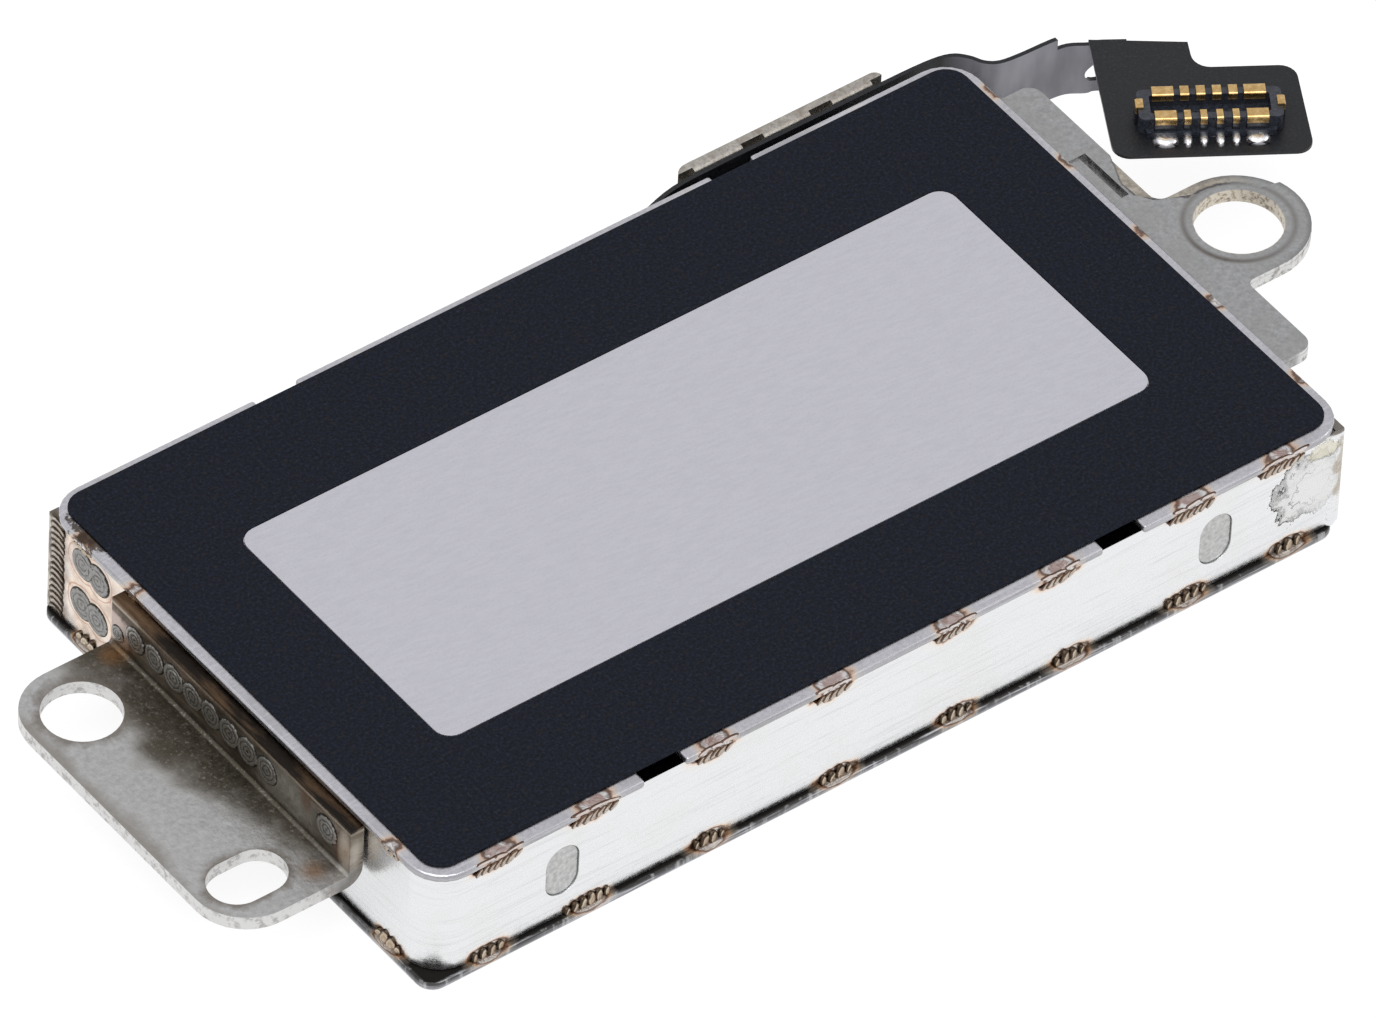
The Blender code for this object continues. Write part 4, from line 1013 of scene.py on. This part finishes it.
def makeScatterTree():
    tree = bpy.data.node_groups.new("setShapes", "GeometryNodeTree")
    face = tree.interface
    face.new_socket("Points", in_out="INPUT", socket_type="NodeSocketGeometry")
    face.new_socket("Shape", in_out="INPUT", socket_type="NodeSocketObject")
    face.new_socket("Finish", in_out="INPUT", socket_type="NodeSocketMaterial")
    face.new_socket("Size Jitter", in_out="INPUT", socket_type="NodeSocketFloat").default_value = 0.1
    face.new_socket("Turn Jitter", in_out="INPUT", socket_type="NodeSocketFloat").default_value = 0.1
    face.new_socket("Seed", in_out="INPUT", socket_type="NodeSocketInt").default_value = 3
    face.new_socket("Result", in_out="OUTPUT", socket_type="NodeSocketGeometry")
    given = add(tree, "NodeGroupInput").outputs
    turn = add(tree, "GeometryNodeInputNamedAttribute", {"Name": "turn"}, data_type="FLOAT_VECTOR")
    size = add(tree, "GeometryNodeInputNamedAttribute", {"Name": "size"}, data_type="FLOAT_VECTOR")
    down = add(tree, "ShaderNodeMath", {}, operation="SUBTRACT")
    down.inputs[0].default_value = 1.0
    tree.links.new(given["Size Jitter"], down.inputs[1])
    up = add(tree, "ShaderNodeMath", {}, operation="ADD")
    up.inputs[0].default_value = 1.0
    tree.links.new(given["Size Jitter"], up.inputs[1])
    factor = add(tree, "FunctionNodeRandomValue", {
        "Min": down.outputs[0], "Max": up.outputs[0], "Seed": given["Seed"],
    }, data_type="FLOAT")
    scale = add(tree, "ShaderNodeVectorMath", operation="SCALE")
    tree.links.new(size.outputs["Attribute"], scale.inputs[0])
    tree.links.new(live(factor.outputs, "Value"), live(scale.inputs, "Scale"))
    swing = add(tree, "FunctionNodeRandomValue", {
        "Min": (-1.0, -1.0, -1.0), "Max": (1.0, 1.0, 1.0), "Seed": given["Seed"],
    }, data_type="FLOAT_VECTOR")
    swung = add(tree, "ShaderNodeVectorMath", operation="SCALE")
    tree.links.new(live(swing.outputs, "Value"), swung.inputs[0])
    tree.links.new(given["Turn Jitter"], live(swung.inputs, "Scale"))
    turned = add(tree, "ShaderNodeVectorMath", operation="ADD")
    tree.links.new(turn.outputs["Attribute"], turned.inputs[0])
    tree.links.new(swung.outputs["Vector"], turned.inputs[1])
    rotation = add(tree, "FunctionNodeEulerToRotation", {"Euler": turned.outputs["Vector"]})
    shape = add(tree, "GeometryNodeObjectInfo", {"Object": given["Shape"]})
    copies = add(tree, "GeometryNodeInstanceOnPoints", {
        "Points": given["Points"], "Instance": shape.outputs["Geometry"],
        "Rotation": rotation.outputs["Rotation"], "Scale": scale.outputs["Vector"],
    })
    tone = add(tree, "FunctionNodeRandomValue", {
        "Min": 0.0, "Max": 1.0, "Seed": given["Seed"],
    }, data_type="FLOAT")
    kept = add(tree, "GeometryNodeStoreNamedAttribute", {
        "Geometry": copies.outputs["Instances"], "Name": "tone", "Value": live(tone.outputs, "Value"),
    }, data_type="FLOAT", domain="INSTANCE")
    real = add(tree, "GeometryNodeRealizeInstances", {"Geometry": kept.outputs["Geometry"]})
    painted = add(tree, "GeometryNodeSetMaterial", {
        "Geometry": real.outputs["Geometry"], "Material": given["Finish"],
    })
    add(tree, "NodeGroupOutput", {"Result": painted.outputs["Geometry"]})
    return tree


scatterTree = makeScatterTree()


# a round boss of radius 1 with Y out of the surface; profile is (radius, height) from the middle out
def domeShape(name, profile, segments=20):
    builder = bmesh.new()
    rim = builder.verts.layers.float.new("rim")
    middle = builder.verts.new((0, profile[0][1], 0))
    previous = None
    for radius, height in profile[1:]:
        loop = []
        for k in range(segments):
            angle = 2 * math.pi * k / segments
            vertex = builder.verts.new((radius * math.cos(angle), height, radius * math.sin(angle)))
            vertex[rim] = radius
            loop.append(vertex)
        for k in range(segments):
            j = (k + 1) % segments
            corners = (middle, loop[k], loop[j])
            if previous:
                corners = (previous[k], loop[k], loop[j], previous[j])
            builder.faces.new(corners)
        previous = loop
    builder.faces.new(previous)
    bmesh.ops.recalc_face_normals(builder, faces=builder.faces)
    mesh = bpy.data.meshes.new(name)
    builder.to_mesh(mesh)
    builder.free()
    mesh.shade_smooth()
    return bpy.data.objects.new(name, mesh)


# points are (place, turn, size) in millimetres and radians
def scatter(name, shape, points, look, sizeJitter=0.08, turnJitter=0.06, seed=3):
    mesh = bpy.data.meshes.new(name)
    mesh.from_pydata([point[0] for point in points], [], [])
    for key, index in (("turn", 1), ("size", 2)):
        layer = mesh.attributes.new(key, "FLOAT_VECTOR", "POINT")
        layer.data.foreach_set("vector", [c for point in points for c in point[index]])
    obj = bpy.data.objects.new(name + "Points", mesh)
    bpy.context.scene.collection.objects.link(obj)
    modifier = obj.modifiers.new("setShapes", "NODES")
    modifier.node_group = scatterTree
    items = scatterTree.interface.items_tree
    inputs = {item.name: item.identifier for item in items if item.in_out == "INPUT"}
    values = {
        "Shape": shape, "Finish": looks[look], "Size Jitter": sizeJitter,
        "Turn Jitter": turnJitter, "Seed": seed,
    }
    for key, value in values.items():
        modifier[inputs[key]] = value
    made = evaluated(obj)
    made.name = name
    made.transform(Matrix.Scale(mm, 4))
    piece = bpy.data.objects.new(name, made)
    bpy.context.scene.collection.objects.link(piece)
    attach(piece, "casing")
    return piece


# Weld beads: rows of small scales that lean over each other, and melted patches on the lid over them.
# share is how much of a run's width its scales take up, and scale is a scale's half size.

beadRows = {
    "frontTop": {
        "pitch": 0.18, "scale": (0.16, 0.024, 0.235), "height": 2.93, "out": 0.09,
        "tilt": -0.32, "lean": 0.21, "share": 1.0,
    },
    "sideTop": {
        "pitch": 0.18, "scale": (0.10, 0.03, 0.07), "height": 3.03, "out": 0.09,
        "tilt": 0.0, "lean": 0.21, "share": 0.6,
    },
    "rearTop": {
        "pitch": 0.18, "scale": (0.13, 0.07, 0.13), "height": 3.03, "out": 0.09,
        "tilt": 0.0, "lean": 0.21, "share": 0.6,
    },
    "foot": {
        "pitch": 0.22, "scale": (0.14, 0.06, 0.225), "height": 0.27, "out": 0.03,
        "tilt": 0.0, "lean": 0.3, "share": 1.0,
    },
}
meltSetup = {"out": 0.135, "height": 3.225, "scale": (0.42, 0.022, 0.055)}


# three smoother patches on the lid's edge over a run
def meltPoints(centre, half, line, turn, chance):
    width, relief, tall = meltSetup["scale"]
    points = []
    for k in (-1, 0, 1):
        s = centre + 0.55 * k * half + chance.uniform(-0.06, 0.06)
        z = meltSetup["height"] + chance.uniform(-0.03, 0.02)
        patch = (width * half * chance.uniform(0.8, 1.2), relief, tall * chance.uniform(0.8, 1.15))
        points.append((line(s, meltSetup["out"], z), (0.0, chance.uniform(-0.2, 0.2), turn), patch))
    return points


# the scales of every run of one edge, with the patches over the front ones
def beadPoints(name, chance):
    row = beadRows.get(name) or beadRows["foot" if name.endswith("Foot") else "sideTop"]
    turn, line = edgeFrames[runEdge(name)]
    scales, melts = [], []
    for centre, half in weldRuns[name]:
        width = 1.8 * row["share"] * half
        count = max(2, round(width / row["pitch"]))
        for k in range(count):
            s = centre - width / 2 + (k + 0.5) * width / count
            ends = 0.75 if k in (0, count - 1) else 1.0
            size = tuple(c * ends * chance.uniform(0.88, 1.1) for c in row["scale"])
            place = line(s, row["out"], row["height"] + chance.uniform(-0.02, 0.02))
            scales.append((place, (row["tilt"], 0.0, turn + row["lean"]), size))
        if name == "frontTop":
            melts += meltPoints(centre, half, line, turn, chance)
    return scales, melts


scaleShape = domeShape("scaleShape", [
    (0.0, 0.92), (0.3, 0.95), (0.5, 0.86), (0.66, 0.80), (0.82, 0.62), (0.93, 0.35), (1.0, 0.0),
    (1.0, -1.6),
])
meltShape = domeShape("meltShape", [
    (0.0, 0.8), (0.35, 0.9), (0.6, 0.78), (0.8, 0.72), (0.93, 0.42), (1.0, 0.0), (1.0, -1.2),
], 28)
chance = random.Random(7)
topScales, footScales, allMelts = [], [], []
for name in weldRuns:
    scales, melts = beadPoints(name, chance)
    (topScales if name == "frontTop" else footScales).extend(scales)
    allMelts += melts
scatter("weldBeads", scaleShape, topScales, "bead", 0.06, 0.03, 11)
scatter("footBeads", scaleShape, footScales, "footBead", 0.08, 0.10, 12)
scatter("weldMelts", meltShape, allMelts, "melt", 0.10, 0.05, 5)
print("weld beads:", len(topScales), len(footScales))

# Laser weld spots on the left wall and the bracket's flange

spotSetup = {
    "flangeRow": [3.22, 2.52, 1.82, 1.14, 0.47, -0.20, -0.87, -1.57, -3.72], "flangeRadius": 0.37,
    "flangeHeight": 2.42, "flangeThickness": 0.35, "relief": 0.03,
    "smallRadius": 0.23, "smallHeight": 2.12, "smallInset": 0.25,
}
spotShape = domeShape("spotShape", [
    (0.0, 0.9), (0.14, 0.6), (0.26, 0.95), (0.33, 0.6), (0.40, 0.9), (0.56, 0.95), (0.62, 0.6),
    (0.68, 0.95), (0.86, 0.9), (0.93, 0.55), (1.0, 0.0), (1.0, -1.0),
], 32)


# discs of one radius on faces that look to the left
def discsAt(places, radius):
    turn = (0, 0, edgeFrames["left"][0])
    return [(place, turn, (radius, spotSetup["relief"], radius)) for place in places]


def flangeSpots(setup):
    bracketLow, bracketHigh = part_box("left_bracket")
    face = bracketHigh.x / mm - setup["flangeThickness"]
    row = [(face, y, setup["flangeHeight"]) for y in setup["flangeRow"]]
    small = (face, bracketHigh.y / mm - setup["smallInset"], setup["smallHeight"])
    return discsAt(row, setup["flangeRadius"]) + discsAt([small], setup["smallRadius"])


wallSpots = discsAt([(wallLeft, y, z) for y, z in wallDiscs["pairs"]], wallDiscs["radius"])
scatter("wallSpots", spotShape, wallSpots, "disc", 0.04, 0.03, 2)
scatter("flangeSpots", spotShape, flangeSpots(spotSetup), "flangeDisc", 0.05, 0.03, 2)

# Corner seams: scales stacked up the two corners where the wall strips meet

seamSetup = {
    "pitch": 0.175, "from": 0.30, "to": 2.98,
    "rear": (6.64, (0.27, 0.015, 0.19), -0.17), "front": (12.12, (0.14, 0.012, 0.12), 0.12),
}


def seamPoints(edge, place, size, lean, setup):
    turn, line = edgeFrames[edge]
    count = round((setup["to"] - setup["from"]) / setup["pitch"])
    heights = [setup["from"] + k * setup["pitch"] for k in range(count + 1)]
    return [(line(place, 0.0, z), (lean, 0.0, turn), size) for z in heights]


rearSeam = seamPoints("left", *seamSetup["rear"], seamSetup)
frontSeam = seamPoints("front", *seamSetup["front"], seamSetup)
scatter("rearSeam", scaleShape, rearSeam, "seam", 0.05, 0.04, 8)
scatter("frontSeam", scaleShape, frontSeam, "wall", 0.05, 0.04, 9)
print("weld spots and corner seams")

# Solder on the connector's front feet

tailFrame = {"origin": (13.799, 2.724), "angle": math.radians(-32.3), "top": 2.755}
solderSetup = {
    "signals": [1.433, 1.791, 2.149, 2.507], "power": [0.95, 2.99], "from": 0.26, "to": 0.78,
    "signalHalf": 0.115, "powerHalf": 0.30, "height": 0.14,
}


def onTail(u, v, z):
    c, s = math.cos(tailFrame["angle"]), math.sin(tailFrame["angle"])
    x, y = tailFrame["origin"]
    return (x + c * u - s * v, y + s * u + c * v, z)


def solderPoints(setup):
    middle = (setup["from"] + setup["to"]) / 2
    reach = (setup["to"] - setup["from"]) / 2
    turn = (quarter, 0.0, tailFrame["angle"])
    points = []
    for half, places in ((setup["signalHalf"], setup["signals"]), (setup["powerHalf"], setup["power"])):
        for u in places:
            points.append((onTail(u, middle, tailFrame["top"]), turn, (half, setup["height"], reach)))
    return points


solderShape = domeShape("solderShape", [
    (0.0, 0.85), (0.3, 0.92), (0.55, 0.86), (0.75, 0.66), (0.9, 0.36), (1.0, 0.0), (1.0, -0.2),
], 24)
scatter("solderJoints", solderShape, solderPoints(solderSetup), "solder", 0.06, 0.05, 4)
print("solder")

# Inside: the sprung weight and the coils keep their CAD shapes; each spring between wall and weight gets
# a rounded copy

insideLooks = {
    "mass_frame": "tungsten", "magnet_": "nickel", "pole_plate": "pole", "bumper_": "foam",
    "position_sensor": "housing", "_carrier": "carrier", "_coil_": "copper",
}
for node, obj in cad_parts.items():
    look = next((look for key, look in insideLooks.items() if key in node), None)
    if look and not node.startswith("spring"):
        obj.data.materials.clear()
        obj.data.materials.append(looks["carrier" if node.endswith("carrier") else look])
# each spring, which in the object is fixed to the wall and to the weight, as a rounded copy on no body
for side, sign in (("left", -1), ("right", 1)):
    node = f"spring_{side}"
    piece = addPiece(f"{side}Spring", softEdged(node, 0.02), "spring", None, [node])
    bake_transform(piece)
print("inside")
